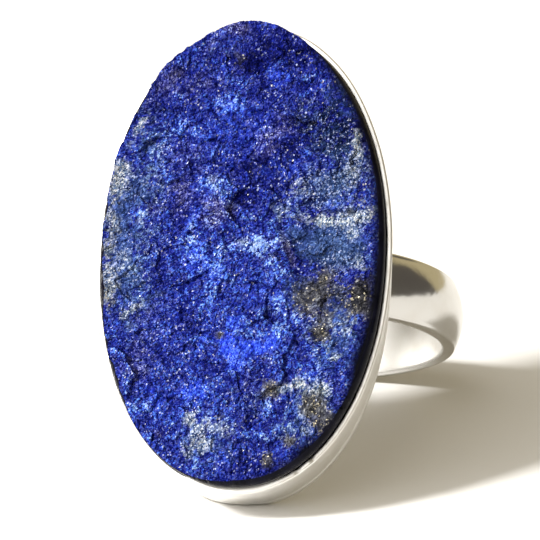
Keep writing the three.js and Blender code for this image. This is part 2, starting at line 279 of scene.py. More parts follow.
def mound_height(x, y, centre, radius, height):
    distance = np.hypot(x - centre[0], y - centre[1])
    return height * ease(1 - distance / (MOUND_SPREAD * radius))


def wandering(x, y, reach):
    """The place shifted a little, so that straight borders turn ragged."""
    shifted = []
    for place, seed in ((x, WANDER_SEED), (y, WANDER_SEED + 2)):
        shift = bumps(x, y, WANDER_CELL, reach, seed)
        shift += bumps(x, y, WANDER_SMALL_CELL, WANDER_SMALL_SHARE * reach, seed + 6)
        shifted.append(place + shift)
    return shifted


def face_relief(x, y):
    """Height of the rough face over its mean level, as in the CAD solid."""
    height = layered_bumps(x, y, (SWELLS, LUMPS, GRAINS))
    height += facets(*wandering(x, y, FACET_WANDER), **FACETS)
    for ledge in LEDGES:
        height += ledge_height(x, y, **ledge)
    for mound in MOUNDS:
        height += mound_height(x, y, **mound)
    return height


def fine_relief(x, y):
    """Small steps, chips and grains of the fracture."""
    wander_x, wander_y = wandering(x, y, FINE_WANDER)
    height = layered_bumps(wander_x, wander_y, FINE_BUMPS)
    for layer in FINE_FACETS:
        height += facets(wander_x, wander_y, **layer)
    return height


def oval(half_width, half_length, fullness, angle):
    """Points of a slightly squared oval, by angle from its right."""
    c = np.cos(angle)
    s = np.sin(angle)
    size = (np.abs(c) ** fullness + np.abs(s) ** fullness) ** (-1 / fullness)
    return half_width * c * size, half_length * s * size


def disc_points(a, b):
    """Square to disc: radius and angle of each point of a square grid."""
    wide = np.abs(a) > np.abs(b)
    safe_a = np.where(wide, a, 1)
    safe_b = np.where(wide | (b == 0), 1, b)
    turn_wide = math.pi / 4 * b / safe_a + np.where(a < 0, math.pi, 0)
    turn_tall = math.pi / 2 - math.pi / 4 * a / safe_b + np.where(b < 0, math.pi, 0)
    return np.maximum(np.abs(a), np.abs(b)), np.where(wide, turn_wide, turn_tall)


def facing(angle, middle, low, high):
    """1 where the outline faces middle, easing to 0 away from it."""
    return ease((np.cos(angle - middle) - low) / (high - low))


def round_outline(angle, places, first):
    """The value at each angle of a list of places, whose angles start after first."""
    degrees = (np.degrees(angle) - first) % 360 + first
    return np.interp(degrees, *zip(*places))


def to_frame(points):
    """Ring millimetres to the frame's metres, with nothing below the table."""
    matrix = np.array(RING)
    placed = points @ matrix[:3, :3].T + matrix[:3, 3]
    placed[:, 2] = np.maximum(placed[:, 2], 0)
    return placed


def ring_numbers(first, rings, count):
    """Numbers of the points in a stack of rings, each closed by its own first point."""
    numbers = first + np.arange(rings * count).reshape(rings, count)
    return np.column_stack([numbers, numbers[:, 0]])


def map_places(across, along):
    """A grid of places on the map that a bake uses."""
    return np.stack(np.meshgrid(across, along, indexing="ij"), -1)


def grid_faces(numbers, places):
    """Quads over a grid of point numbers, and the places of their corners on the map."""
    corners = (np.s_[:-1, :-1], np.s_[:-1, 1:], np.s_[1:, 1:], np.s_[1:, :-1])
    faces = np.stack([numbers[corner] for corner in corners], -1).reshape(-1, 4)
    uv = np.stack([places[corner] for corner in corners], -2).reshape(-1, 2)
    return faces.tolist(), uv.tolist()


def fan_faces(centre, ring, centre_across, ring_across):
    """Triangles from a centre point to a closed ring, and their places on the map."""
    faces = []
    uv = []
    count = len(ring) - 1
    for k in range(count):
        faces.append([centre, int(ring[k + 1]), int(ring[k])])
        low, high = k / count, (k + 1) / count
        uv.extend([(centre_across, low), (ring_across, high), (ring_across, low)])
    return faces, uv


def put_in_scene(name, data):
    made = bpy.data.objects.new(name, data)
    bpy.context.scene.collection.objects.link(made)
    return made


def make_piece(name, points, faces, uv, materials, rough_faces=0):
    """A mesh object from ring millimetres. Its rough faces come first in the list: they
    are flat, and take the first material."""
    mesh = bpy.data.meshes.new(name)
    mesh.from_pydata(to_frame(points).tolist(), [], faces)
    for material in materials:
        mesh.materials.append(material)
    is_rough = np.arange(len(faces)) < rough_faces
    mesh.polygons.foreach_set("material_index", np.where(is_rough, 0, len(materials) - 1))
    mesh.polygons.foreach_set("use_smooth", ~is_rough)
    layer = mesh.uv_layers.new(name="OFBake")
    layer.uv.foreach_set("vector", np.asarray(uv, np.float32).ravel())
    mesh.validate()
    mesh.update()
    return put_in_scene(name, mesh)


# What lies where on the face. Each spot is its centre in ring millimetres, its half
# width and half length, its strength and, where it has one, its turn in degrees. Tones
# make the blue lighter or darker: mostly the stone's own blue, but the dark tones along a
# ledge at (2.9, -0.4) and a groove at (-4.0, -1.1) are painted shade.
BLUE_TONES_AND_SHADE = [
    (-0.9, 7.7, 0.75, 0.4, 0.42), (-0.3, 8.9, 0.7, 0.35, 0.2, 10), (1.5, 9.4, 0.7, 0.4, 0.24, -30),
    (3.3, 9.0, 0.5, 0.35, 0.2), (-3.7, 6.9, 0.5, 0.5, 0.18), (-2.8, 6.4, 0.7, 0.3, 0.2, -10),
    (-4.5, 6.0, 0.6, 0.5, 0.18, 20), (-3.6, 8.3, 0.4, 0.4, 0.16), (-4.6, 4.7, 0.6, 0.7, 0.2),
    (3.2, 5.4, 0.4, 1.1, 0.24, -12), (3.6, 3.0, 0.7, 0.6, 0.12), (4.8, 2.3, 0.45, 0.6, 0.12),
    (2.5, 2.5, 0.5, 0.5, 0.14), (0.5, 1.8, 0.45, 0.3, 0.26), (-1.6, 3.3, 0.5, 0.4, 0.34),
    (-0.9, 3.1, 0.35, 0.6, 0.24, 20), (-2.5, 0.9, 0.4, 0.6, 0.3, -20), (-2.5, -0.3, 0.5, 0.8, 0.2),
    (0.3, 0.3, 0.8, 0.45, 0.45, -5), (1.0, 0.3, 0.35, 0.45, 0.36), (-0.8, 0.2, 0.5, 0.5, 0.2),
    (-1.2, -1.1, 0.45, 0.5, 0.26), (-1.4, -2.6, 0.35, 0.8, 0.24, -10), (-0.4, -1.7, 0.45, 0.5, 0.22, 30),
    (1.7, -1.1, 0.45, 0.45, 0.28), (2.1, -3.0, 0.5, 0.9, 0.18, 10), (2.9, -3.4, 0.3, 0.5, 0.2, -20),
    (5.2, -3.4, 0.6, 0.6, 0.32), (0.4, -4.25, 0.7, 0.28, 0.36, -8), (2.0, -4.5, 0.45, 0.5, 0.24),
    (0.15, -5.9, 0.4, 0.6, 0.24, 10), (-2.2, -7.1, 0.6, 0.5, 0.16), (-4.8, -8.0, 0.5, 0.5, 0.18),
    (3.9, -6.2, 0.6, 0.5, 0.26), (1.7, -7.8, 0.3, 0.7, 0.24, 5), (2.9, -8.5, 0.45, 0.5, 0.22),
    (1.6, -9.4, 0.3, 0.35, 0.24), (1.0, -9.3, 0.3, 0.3, 0.2), (-1.5, -10.8, 0.9, 0.5, 0.2),
    (4.4, -5.2, 0.5, 0.6, 0.2), (-5.3, 1.8, 0.5, 0.7, 0.26), (-5.2, -0.5, 0.5, 0.5, 0.26),
    (-5.0, -2.4, 0.35, 0.6, 0.18), (-1.4, -9.0, 1.3, 0.8, 0.14), (5.1, 5.6, 0.5, 0.4, 0.1),
    (1.8, 10.0, 2.2, 1.6, -0.32, 20), (0.0, 9.5, 0.6, 0.4, -0.14), (3.3, 6.5, 0.6, 1.0, -0.24, 15),
    (4.6, 5.4, 0.5, 0.8, -0.2), (0.5, 4.3, 1.0, 0.5, -0.28, 10), (0.3, 2.8, 0.5, 0.7, -0.26),
    (2.3, 5.2, 0.6, 0.8, -0.16), (-2.6, -3.4, 0.4, 0.5, -0.24), (0.9, -8.5, 0.6, 0.4, -0.24),
    # Painted shade: the dark tones at (-4.0, -1.1) in a groove and at (2.9, -0.4) along a ledge.
    (-4.0, -1.1, 0.35, 0.8, -0.2), (2.9, -0.4, 0.4, 0.9, -0.24, 25), (-0.6, 1.3, 0.4, 0.7, -0.06, -30),
    (-3.1, 1.5, 0.5, 0.9, -0.12), (3.0, 0.9, 0.5, 0.6, -0.14), (-4.2, 9.2, 0.7, 0.5, -0.1),
    (0.9, -11.0, 2.0, 0.7, -0.14), (4.7, -1.6, 0.6, 0.5, -0.2), (4.9, -2.5, 0.4, 0.5, -0.2),
    (5.9, 7.0, 0.6, 1.2, -0.14), (4.6, 8.0, 0.6, 0.7, -0.1), (1.8, 8.3, 0.7, 0.4, -0.06),
    (-0.9, -6.3, 0.6, 0.4, -0.12), (-3.6, -5.2, 0.7, 0.6, -0.08), (-4.4, -6.6, 0.6, 0.5, -0.1),
    (5.3, 5.9, 0.7, 1.0, -0.2), (5.9, 4.6, 0.6, 0.8, -0.16), (2.2, 9.0, 0.9, 0.6, 0.1, -30),
    (5.0, 6.9, 0.8, 1.1, -0.26), (-4.6, 7.0, 0.9, 0.8, -0.16), (-2.4, 7.0, 0.9, 0.6, -0.08),
    (0.9, 4.9, 1.6, 0.7, -0.16), (0.6, 3.1, 0.8, 0.6, -0.08), (-0.7, -0.1, 1.5, 0.6, 0.08),
    (1.8, -0.2, 0.7, 0.8, 0.14), (0.5, -3.7, 0.8, 0.7, 0.12), (-4.6, -7.1, 0.8, 0.8, 0.1),
    (6.0, -2.1, 0.4, 0.7, -0.55), (-4.5, -3.6, 0.8, 0.8, 0.05), (-1.4, 2.0, 0.6, 0.7, 0.12),
    (4.0, 6.6, 1.4, 1.2, -0.18), (5.2, 5.2, 0.8, 1.2, -0.16), (3.2, 4.6, 1.2, 0.8, -0.08),
    (-3.0, 8.6, 1.2, 0.9, -0.12, 30), (0.6, 6.6, 1.2, 0.6, -0.08), (4.2, 2.9, 1.1, 0.7, -0.08),
    (2.2, 1.3, 0.8, 0.6, 0.17), (2.3, -1.0, 0.6, 0.6, 0.06), (0.8, -5.4, 0.9, 0.6, 0.14),
    (2.2, -5.4, 0.7, 0.6, 0.12), (4.8, -0.5, 1.2, 0.7, -0.16), (-4.6, 5.2, 0.8, 0.8, -0.1),
    (3.2, 2.8, 1.6, 0.7, -0.14), (0.8, 4.0, 1.8, 0.7, -0.06), (5.6, 1.4, 1.0, 0.6, -0.1),
    (2.4, 4.8, 0.8, 0.8, -0.08), (-2.9, 3.2, 0.8, 0.8, -0.12), (-1.2, 1.2, 0.8, 0.5, 0.12),
    (-1.2, -7.2, 0.8, 0.7, 0.1), (0.9, -4.6, 1.2, 0.3, 0.12, -5),
]
SPOTS = {
    "vivid": [
        (-0.2, -4.8, 0.6, 0.6, 1), (0.8, -5.0, 1.0, 0.5, 1), (1.7, -4.8, 0.5, 0.4, 1),
        (0.2, -5.6, 0.45, 0.6, 0.8), (-2.1, -7.1, 0.65, 0.55, 0.8), (-1.2, -1.2, 0.5, 0.5, 0.5),
        (-2.4, -0.6, 0.5, 0.9, 0.5), (0.0, -3.8, 0.6, 0.4, 0.6), (-0.9, 7.6, 0.8, 0.5, 0.5),
        (1.6, 9.1, 0.8, 0.6, 0.5, -30), (4.8, 2.3, 0.5, 0.6, 0.35), (-0.5, 6.2, 1.8, 1.6, 0.35),
        (3.9, -6.2, 0.6, 0.5, 0.5), (-1.2, -4.6, 0.9, 0.9, 0.3), (-2.2, 1.9, 0.7, 1.0, 0.35),
        (2.4, 4.4, 1.4, 0.6, 0.35, 10), (-4.0, -7.2, 0.8, 0.9, 0.3), (0.9, -2.2, 1.4, 1.0, 0.3),
    ],
    "calcite": [
        (-1.5, -9.5, 0.6, 0.8, 0.8, 10), (-2.1, -8.6, 0.35, 0.5, 0.8), (-1.2, -8.9, 1.0, 0.6, 0.5),
        (-0.4, -9.1, 0.5, 0.4, 0.6), (-2.3, -10.1, 0.45, 0.4, 0.6), (-6.35, 3.6, 0.5, 0.8, 0.9),
        (-5.9, 4.1, 0.5, 0.4, 0.7), (-6.6, 1.2, 0.4, 1.4, 0.6), (-6.6, -1.4, 0.45, 1.6, 0.6),
        (-5.4, -3.1, 0.7, 0.16, 0.9, 35), (-5.9, -0.4, 0.5, 0.6, 0.5), (5.7, 5.5, 0.25, 0.75, 0.8),
        (5.6, 1.75, 0.9, 0.42, 0.85, 5), (4.05, 1.7, 0.45, 0.25, 1), (3.2, 1.75, 0.8, 0.3, 0.6),
        (5.4, 4.3, 0.5, 0.5, 0.5), (2.6, -6.9, 0.6, 0.25, 1, 10), (3.2, -6.7, 0.4, 0.25, 1),
        (4.4, -6.9, 0.5, 0.4, 1), (5.0, -5.4, 0.3, 0.25, 0.9), (2.0, 2.0, 0.6, 0.4, 0.5),
        (5.6, 0.9, 0.3, 0.4, 0.6), (6.0, -0.6, 0.35, 0.7, 0.5), (0.1, 0.4, 0.5, 0.4, 0.9),
        (3.6, -8.6, 0.3, 0.8, 0.4, 15), (2.8, 3.3, 0.3, 0.5, 0.5), (-5.3, 1.6, 0.3, 0.3, 0.6),
        (-6.2, 4.2, 0.45, 0.7, 0.9), (-6.7, 0.0, 0.35, 0.8, 0.8), (-6.5, -1.9, 0.5, 0.6, 0.8),
        (5.5, 3.9, 0.4, 0.5, 0.7), (4.9, 1.75, 0.6, 0.3, 0.8), (6.3, 1.9, 0.4, 0.4, 0.8),
        (3.9, -7.2, 0.6, 0.5, 0.6), (-5.55, 6.3, 0.2, 0.7, 0.8, -32), (-1.5, 3.6, 0.3, 0.25, 0.6),
    ],
    "teal": [
        (4.4, 0.5, 1.7, 1.0, 1), (5.6, 0.2, 0.9, 1.1, 0.9), (3.0, 0.9, 1.0, 0.6, 0.8),
        (4.6, 8.2, 0.8, 1.2, 0.5, 10), (5.2, 7.2, 0.7, 0.9, 0.5), (-6.0, 0.5, 1.2, 3.6, 0.8),
        (-5.5, 3.0, 1.0, 1.8, 0.65), (3.2, -9.0, 1.1, 0.8, 0.5), (-1.4, -9.6, 1.4, 1.3, 0.6),
        (4.9, -5.0, 0.9, 1.3, 0.6), (3.5, -2.0, 1.3, 1.1, 0.75), (5.0, -2.8, 0.9, 1.3, 0.65),
        (3.9, -7.9, 1.0, 1.4, 0.65), (2.2, 2.0, 1.0, 0.6, 0.6), (5.2, 3.3, 1.2, 1.0, 0.7),
        (4.6, 4.8, 1.1, 1.0, 0.5), (-5.2, 5.6, 0.8, 1.2, 0.5), (-4.9, -2.6, 0.9, 1.2, 0.5),
    ],
    "mottled": [
        (5.2, 4.0, 1.2, 1.5, 0.9), (4.0, 3.4, 1.2, 1.1, 0.75), (4.4, 5.6, 1.1, 1.2, 0.6),
        (3.0, 2.6, 0.9, 0.7, 0.6), (5.6, 1.6, 1.0, 0.9, 0.9), (3.4, 6.9, 1.0, 0.9, 0.5),
        (5.0, -0.6, 1.2, 1.0, 0.7), (3.9, -3.8, 0.9, 1.2, 0.6), (-4.7, 3.6, 1.0, 2.4, 0.44),
        (-4.9, 0.3, 0.9, 2.2, 0.48), (-4.6, 6.8, 0.9, 0.9, 0.3), (1.9, -3.0, 0.8, 1.0, 0.4),
        (4.2, -7.0, 0.9, 1.1, 0.8), (1.1, -7.6, 1.0, 0.9, 0.4), (2.6, -8.9, 0.9, 0.7, 0.5),
    ],
    "violet": [
        (-1.4, 1.8, 0.9, 1.0, 0.9), (-3.1, 2.9, 0.6, 1.3, 0.6), (1.2, 5.6, 0.7, 0.8, 0.6),
        (1.9, 6.5, 0.8, 0.6, 0.5), (-4.3, 9.0, 1.0, 1.0, 0.6, -30), (-0.7, 11.5, 0.7, 0.35, 0.8),
        (2.35, 0.1, 0.2, 1.2, 1, 20), (-4.6, 2.2, 0.6, 0.5, 0.6), (-1.8, 10.8, 0.4, 0.9, 0.6, -35),
        (-5.0, -5.6, 0.8, 1.3, 0.5), (1.6, -5.5, 0.7, 0.5, 0.6), (-3.7, -9.3, 0.3, 0.3, 0.8),
        (-4.6, -3.3, 1.0, 0.8, 0.5), (0.8, -6.6, 0.8, 0.6, 0.4), (-2.5, 8.8, 1.2, 0.6, 0.4),
        (1.3, 0.0, 0.8, 0.6, 0.4), (-2.8, 4.8, 1.2, 0.8, 0.4),
    ],
    "pyrite": [
        (3.7, -2.1, 1.0, 1.0, 0.93), (4.25, -1.4, 0.6, 0.6, 1), (3.6, -3.0, 0.6, 0.5, 0.8),
        (6.1, -2.2, 0.6, 1.0, 1), (4.3, -3.4, 0.4, 0.6, 0.75), (4.2, -4.15, 0.45, 0.4, 1),
        (1.75, -7.0, 0.42, 0.5, 1), (4.0, -7.8, 0.55, 0.7, 0.95), (4.5, -8.5, 0.5, 0.6, 0.9),
        (2.8, -9.6, 0.35, 0.35, 0.9), (1.8, -10.5, 0.28, 0.5, 0.9, -15), (-6.5, -2.4, 0.3, 0.8, 0.6),
        (-0.55, 10.35, 0.25, 0.6, 0.5, 10), (-0.75, -4.4, 0.2, 0.16, 1), (5.0, -1.0, 0.5, 0.3, 0.5),
        (-6.4, 2.6, 0.3, 0.5, 0.5), (5.7, 3.1, 0.6, 1.2, 0.45), (5.2, -2.0, 0.6, 0.8, 0.6),
        (5.5, -3.4, 0.5, 0.6, 0.45), (-6.6, 0.4, 0.4, 1.3, 0.45), (-6.6, 3.8, 0.4, 0.7, 0.45),
    ],
}
SPOT_REACH = 1.75
SPOT_SOFTNESS = 1.5
SPOT_RAGGEDNESS = 0.75
FRACTURE_NOISE = [
    {"cell": 1.1, "height": 0.5, "seed": 201},
    {"cell": 0.55, "height": 0.34, "seed": 203},
    {"cell": 0.27, "height": 0.26, "seed": 205},
    {"cell": 0.13, "height": 0.2, "seed": 207},
]

# Colour lies grain by grain: how far a grain keeps to one colour, how much its own
# scatter value counts, and how much painted shade falls in hollows, with crests paler as
# bruised fracture edges are.
GRAIN_CELL = 0.17
GRAIN_SEED = 211
GRAIN_KEEPS_COLOUR = 0.8
GRAIN_ON_COVER = 0.34
COVER_STARTS_AT = 0.36
COVER_SOFTNESS = 0.3
TONE_SHARE = 0.72
GRAIN_ON_TONE = 0.5
GRAIN_OWN_TONE = 0.06
HOLLOW_SHADE_AND_BRUISE = 1.1
HOLLOW_LIMIT = 0.12
HOLLOW_ROUNDS = 24


def spot_cover(x, y, noise_here, centre_x, centre_y, half_width, half_length, strength, turn=0):
    """Soft cover of one spot, with a ragged outline."""
    c = math.cos(math.radians(turn))
    s = math.sin(math.radians(turn))
    across = ((x - centre_x) * c + (y - centre_y) * s) / half_width
    along = ((y - centre_y) * c - (x - centre_x) * s) / half_length
    distance = np.hypot(across, along) + SPOT_RAGGEDNESS * noise_here
    return strength * ease((SPOT_REACH - distance) / SPOT_SOFTNESS)


def face_marks(points, ground_and_shade):
    """Where each mineral shows on the face, and how light or dark its blue is, with painted shade in
    hollows and along a ledge and a groove.
    """
    x, y = points[:, 0], points[:, 1]
    i, j, grain_x, grain_y = nearest_cell(x, y, GRAIN_CELL, GRAIN_SEED)
    own = scatter(i, j, GRAIN_SEED + 12)
    x = mix(x, grain_x, GRAIN_KEEPS_COLOUR)
    y = mix(y, grain_y, GRAIN_KEEPS_COLOUR)
    noise_here = layered_bumps(x, y, FRACTURE_NOISE)
    marks = {"ground_and_shade": ground_and_shade}
    for name, spots in SPOTS.items():
        cover = np.zeros(x.shape)
        for spot in spots:
            cover = np.maximum(cover, spot_cover(x, y, noise_here, *spot))
        over = cover - COVER_STARTS_AT + GRAIN_ON_COVER * own
        marks[name] = cover * ease(over / COVER_SOFTNESS + 0.5)
    tone_and_shade = sum(spot_cover(x, y, noise_here, *spot) for spot in BLUE_TONES_AND_SHADE)
    tone_and_shade = tone_and_shade * (TONE_SHARE + GRAIN_ON_TONE * own) + GRAIN_OWN_TONE * own
    # Painted shade in the face's hollows, and paler crests as on bruised fracture edges.
    marks["tone_and_shade"] = tone_and_shade + HOLLOW_SHADE_AND_BRUISE * hollows(points[:, 2])
    return marks


def hollows(height):
    """How far each face point stands above or below its surroundings."""
    grid = height.reshape(FACE_ROWS + 1, FACE_COLUMNS + 1)
    smooth = grid
    for _ in range(HOLLOW_ROUNDS):
        padded = np.pad(smooth, 1, mode="edge")
        around = padded[:-2, 1:-1] + padded[2:, 1:-1] + padded[1:-1, :-2] + padded[1:-1, 2:]
        smooth = around / 4
    return np.clip(grid - smooth, -HOLLOW_LIMIT, HOLLOW_LIMIT).ravel()


def lay_mark(mesh, name, values):
    """A value for each point of the mesh, which the material reads by its name."""
    whole = np.zeros(len(mesh.vertices), np.float32)
    whole[: len(values)] = values
    mesh.attributes.new(name, "FLOAT", "POINT").data.foreach_set("value", whole)


# The stone.
def edge_inset(angle, x, y):
    """How far the face's edge is drawn in: bevel, chips and the broken left side."""
    bevel = BEVEL_WIDTH * facing(angle, BEVEL_FACING, *BEVEL_ENDS_AT)
    chip = np.maximum(0, layered_bumps(x, y, CHIPS))
    chips = CHIP_DEPTH * facing(angle, CHIPS_FACING, *CHIPS_END_AT) * chip
    setback = round_outline(angle, EDGE_SETBACK, first=60)
    overhang = TOP_END_OVERHANG * facing(angle, TOP_END_FACING, *TOP_END_ENDS_AT)
    return bevel + chips + setback + EDGE_ROUNDING - overhang


def polished_edge(angle, radius, edge_length):
    """1 on the ground and polished border of the face, 0 elsewhere. The material paints this border near
    black, partly as shade.
    """
    width = round_outline(angle, POLISHED_BORDER, first=-180)
    from_centre = edge_length * radius
    noise_here = layered_bumps(
        from_centre * np.cos(angle), from_centre * np.sin(angle), FRACTURE_NOISE
    )
    from_edge = (1 - radius) * edge_length + POLISH_RAGGEDNESS * noise_here
    return ease((width - from_edge) / POLISH_FADES_OVER) * ease(width / POLISH_THIN_BELOW)


def stone_face_points():
    a, b = np.meshgrid(np.linspace(-1, 1, FACE_COLUMNS + 1), np.linspace(-1, 1, FACE_ROWS + 1))
    radius, angle = disc_points(a.ravel(), b.ravel())
    half_width = OPENING_HALF_WIDTH - STONE_SEAT_GAP
    half_length = OPENING_HALF_LENGTH - STONE_SEAT_GAP
    edge_x, edge_y = oval(half_width, half_length, OVAL_FULLNESS, angle)
    edge_length = np.hypot(edge_x, edge_y)
    inset = edge_inset(angle, edge_x, edge_y)
    drawn_in = ease((radius - EDGE_DRAWN_IN_FROM) / (1 - EDGE_DRAWN_IN_FROM))
    shrink = 1 - inset / edge_length * drawn_in
    x = edge_x * radius * shrink
    y = edge_y * radius * shrink
    relief = face_relief(x, y)
    ground_and_shade = polished_edge(angle, radius, edge_length)
    settle = ease((1 - radius) / EDGE_SETTLES_OVER)
    height = FACE_RISE + mix(EDGE_SHARE_OF_RELIEF * relief, relief, settle)
    height += (1 - POLISH_SMOOTHING * ground_and_shade) * fine_relief(x, y)
    height -= POLISH_DEPTH * ground_and_shade
    height += TOP_END_RISE * ease((y - TOP_END_STARTS_AT) / TOP_END_LENGTH)
    return np.stack([x, y, height], 1), angle, ground_and_shade


def stone_side_levels():
    """Half width, half length, fullness and height down the stone's polished side."""
    top_width = OPENING_HALF_WIDTH - STONE_SEAT_GAP
    top_length = OPENING_HALF_LENGTH - STONE_SEAT_GAP
    foot_width = BASE_HALF_WIDTH - PLATE_LIP - RIM_THICKNESS - STONE_SEAT_GAP
    foot_length = BASE_HALF_LENGTH - PLATE_LIP - RIM_THICKNESS - STONE_SEAT_GAP
    middle_width = (top_width + foot_width) / 2
    middle_length = (top_length + foot_length) / 2
    return [
        (top_width, top_length, OVAL_FULLNESS, SIDE_STARTS_AT),
        (top_width, top_length, OVAL_FULLNESS, SIDE_STRAIGHT_FROM),
        (top_width, top_length, OVAL_FULLNESS, 0.0),
        (middle_width, middle_length, OVAL_FULLNESS, -STONE_BELOW_RIM / 2),
        (foot_width, foot_length, BASE_FULLNESS, -STONE_BELOW_RIM),
    ]


def face_border(grid):
    """The face grid's outer points, once round."""
    bottom = grid[0, :-1]
    right = grid[:-1, -1]
    top = grid[-1, :0:-1]
    left = grid[:0:-1, 0]
    return np.concatenate([bottom, right, top, left])


# Where the face, the side and the foot lie on the stone's map.
FACE_MAP_MIDDLE = (0.31, 0.5)
SIDE_MAP_STARTS_AT = 0.66
SIDE_MAP_STEP = 0.04


def stone(face_material, side_material):
    points, angle, ground_and_shade = stone_face_points()
    grid = np.arange(len(points)).reshape(FACE_ROWS + 1, FACE_COLUMNS + 1)
    places = points[:, :2] / (2 * OPENING_HALF_LENGTH) + FACE_MAP_MIDDLE
    faces, uv = grid_faces(grid, places.reshape(*grid.shape, 2))
    rough = len(faces)
    border = face_border(grid)
    count = len(border)
    levels = stone_side_levels()
    all_points = [points]
    for width, length, fullness, height in levels:
        x, y = oval(width, length, fullness, angle[border])
        all_points.append(np.stack([x, y, np.full(count, height)], 1))
    all_points.append([[0, 0, -STONE_BELOW_RIM]])
    side = ring_numbers(len(points), len(levels), count)
    side = np.vstack([np.append(border, border[0]), side])
    across = SIDE_MAP_STARTS_AT + SIDE_MAP_STEP * np.arange(len(side) + 1)
    side_places = map_places(across[:-1], np.linspace(0, 1, count + 1))
    side_faces, side_uv = grid_faces(side.T, side_places.swapaxes(0, 1))
    foot_centre = len(points) + len(levels) * count
    foot_faces, foot_uv = fan_faces(foot_centre, side[-1], across[-1], across[-2])
    piece = make_piece(
        "lapis_rough_slab",
        np.concatenate(all_points),
        faces + side_faces + foot_faces,
        uv + side_uv + foot_uv,
        [face_material, side_material],
        rough,
    )
    for name, values in face_marks(points, ground_and_shade).items():
        lay_mark(piece.data, name, values)
    return piece


# The cup.
LIP_PRESSED_IN = 0.16
LIP_PRESSED_FACING = math.radians(-90)
LIP_PRESSED_ENDS_AT = (0.93, 0.99)
RIM_NICKS = [
    {"angle": math.radians(-64.5), "width": 0.012, "depth": 0.1},
    {"angle": math.radians(-58.5), "width": 0.01, "depth": 0.08},
    {"angle": math.radians(-20), "width": 0.008, "depth": 0.03},
    {"angle": math.radians(38), "width": 0.01, "depth": 0.03},
    {"angle": math.radians(205), "width": 0.012, "depth": 0.05},
]

# Hand-pushed metal: slow waves round the rim, up and down and in and out.
RIM_HEIGHT_WAVES = [
    {"count": 5, "size": 0.018, "start": 0.6},
    {"count": 11, "size": 0.012, "start": 2.1},
    {"count": 23, "size": 0.008, "start": 0.0},
]
RIM_BELOW_TOP = 0.03
WALL_WAVES = [
    {"count": 7, "size": 0.012, "start": 1.0},
    {"count": 17, "size": 0.005, "start": 0.4},
]
WALL_DRAWN_IN = 0.012


def waves(angle, layers):
    return sum(wave["size"] * np.sin(wave["count"] * angle + wave["start"]) for wave in layers)


def rim_unevenness(angle):
    """The rim's height, with a few small nicks."""
    height = waves(angle, RIM_HEIGHT_WAVES) - RIM_BELOW_TOP
    for nick in RIM_NICKS:
        off = np.angle(np.exp(1j * (angle - nick["angle"]))) / nick["width"]
        height -= nick["depth"] * np.exp(-off * off)
    return height


def quarter_round(steps, radius):
    """How far points round a corner lie in from its one side and from its other side."""
    turns = np.linspace(0, math.pi / 2, steps + 1)
    return [(radius * (1 - math.cos(turn)), radius * (1 - math.sin(turn))) for turn in turns]


def base_level(inset, height):
    return BASE_HALF_WIDTH - inset, BASE_HALF_LENGTH - inset, BASE_FULLNESS, height, 0


def rim_level(outset, height, uneven=1):
    width = OPENING_HALF_WIDTH + outset
    length = OPENING_HALF_LENGTH + outset
    return width, length, OVAL_FULLNESS, height, uneven


def wall_levels(plate_top):
    """From just over the plate up to the rim, growing wider, rounder and less even."""
    foot_inset = PLATE_LIP + WALL_FOOT_INSET
    foot = np.array(base_level(foot_inset, plate_top))
    top = np.array(rim_level(RIM_THICKNESS, -RIM_ROUNDING))
    levels = []
    for share in np.linspace(WALL_STARTS_AT, 1, WALL_LEVELS):
        width, length, fullness, height, _ = mix(foot, top, share)
        levels.append((width, length, fullness, height, ease(2 * share - 1)))
    return levels


def cup_levels():
    """Half width, half length, fullness, height and share of the rim's unevenness, from
    under the plate, up the wall and over the rim to the floor inside."""
    plate_top = PLATE_BACK + PLATE_THICKNESS
    levels = [base_level(inset, PLATE_BACK) for inset in PLATE_RING_INSETS]
    for lift, inset in quarter_round(steps=3, radius=PLATE_EDGE_ROUNDING):
        levels.append(base_level(inset, PLATE_BACK + lift))
    for inset, drop in quarter_round(steps=3, radius=PLATE_LIP):
        levels.append(base_level(inset, plate_top - drop))
    levels += wall_levels(plate_top)
    for inset, drop in quarter_round(steps=4, radius=RIM_ROUNDING)[1:]:
        levels.append(rim_level(RIM_THICKNESS - inset, -drop))
    for drop, outset in quarter_round(steps=3, radius=RIM_INNER_ROUNDING):
        levels.append(rim_level(outset, -drop))
    levels.append(rim_level(0, -RIM_INNER_DEPTH, uneven=0))
    levels.append(base_level(PLATE_LIP + RIM_THICKNESS, plate_top + FLOOR_OVER_PLATE))
    return levels


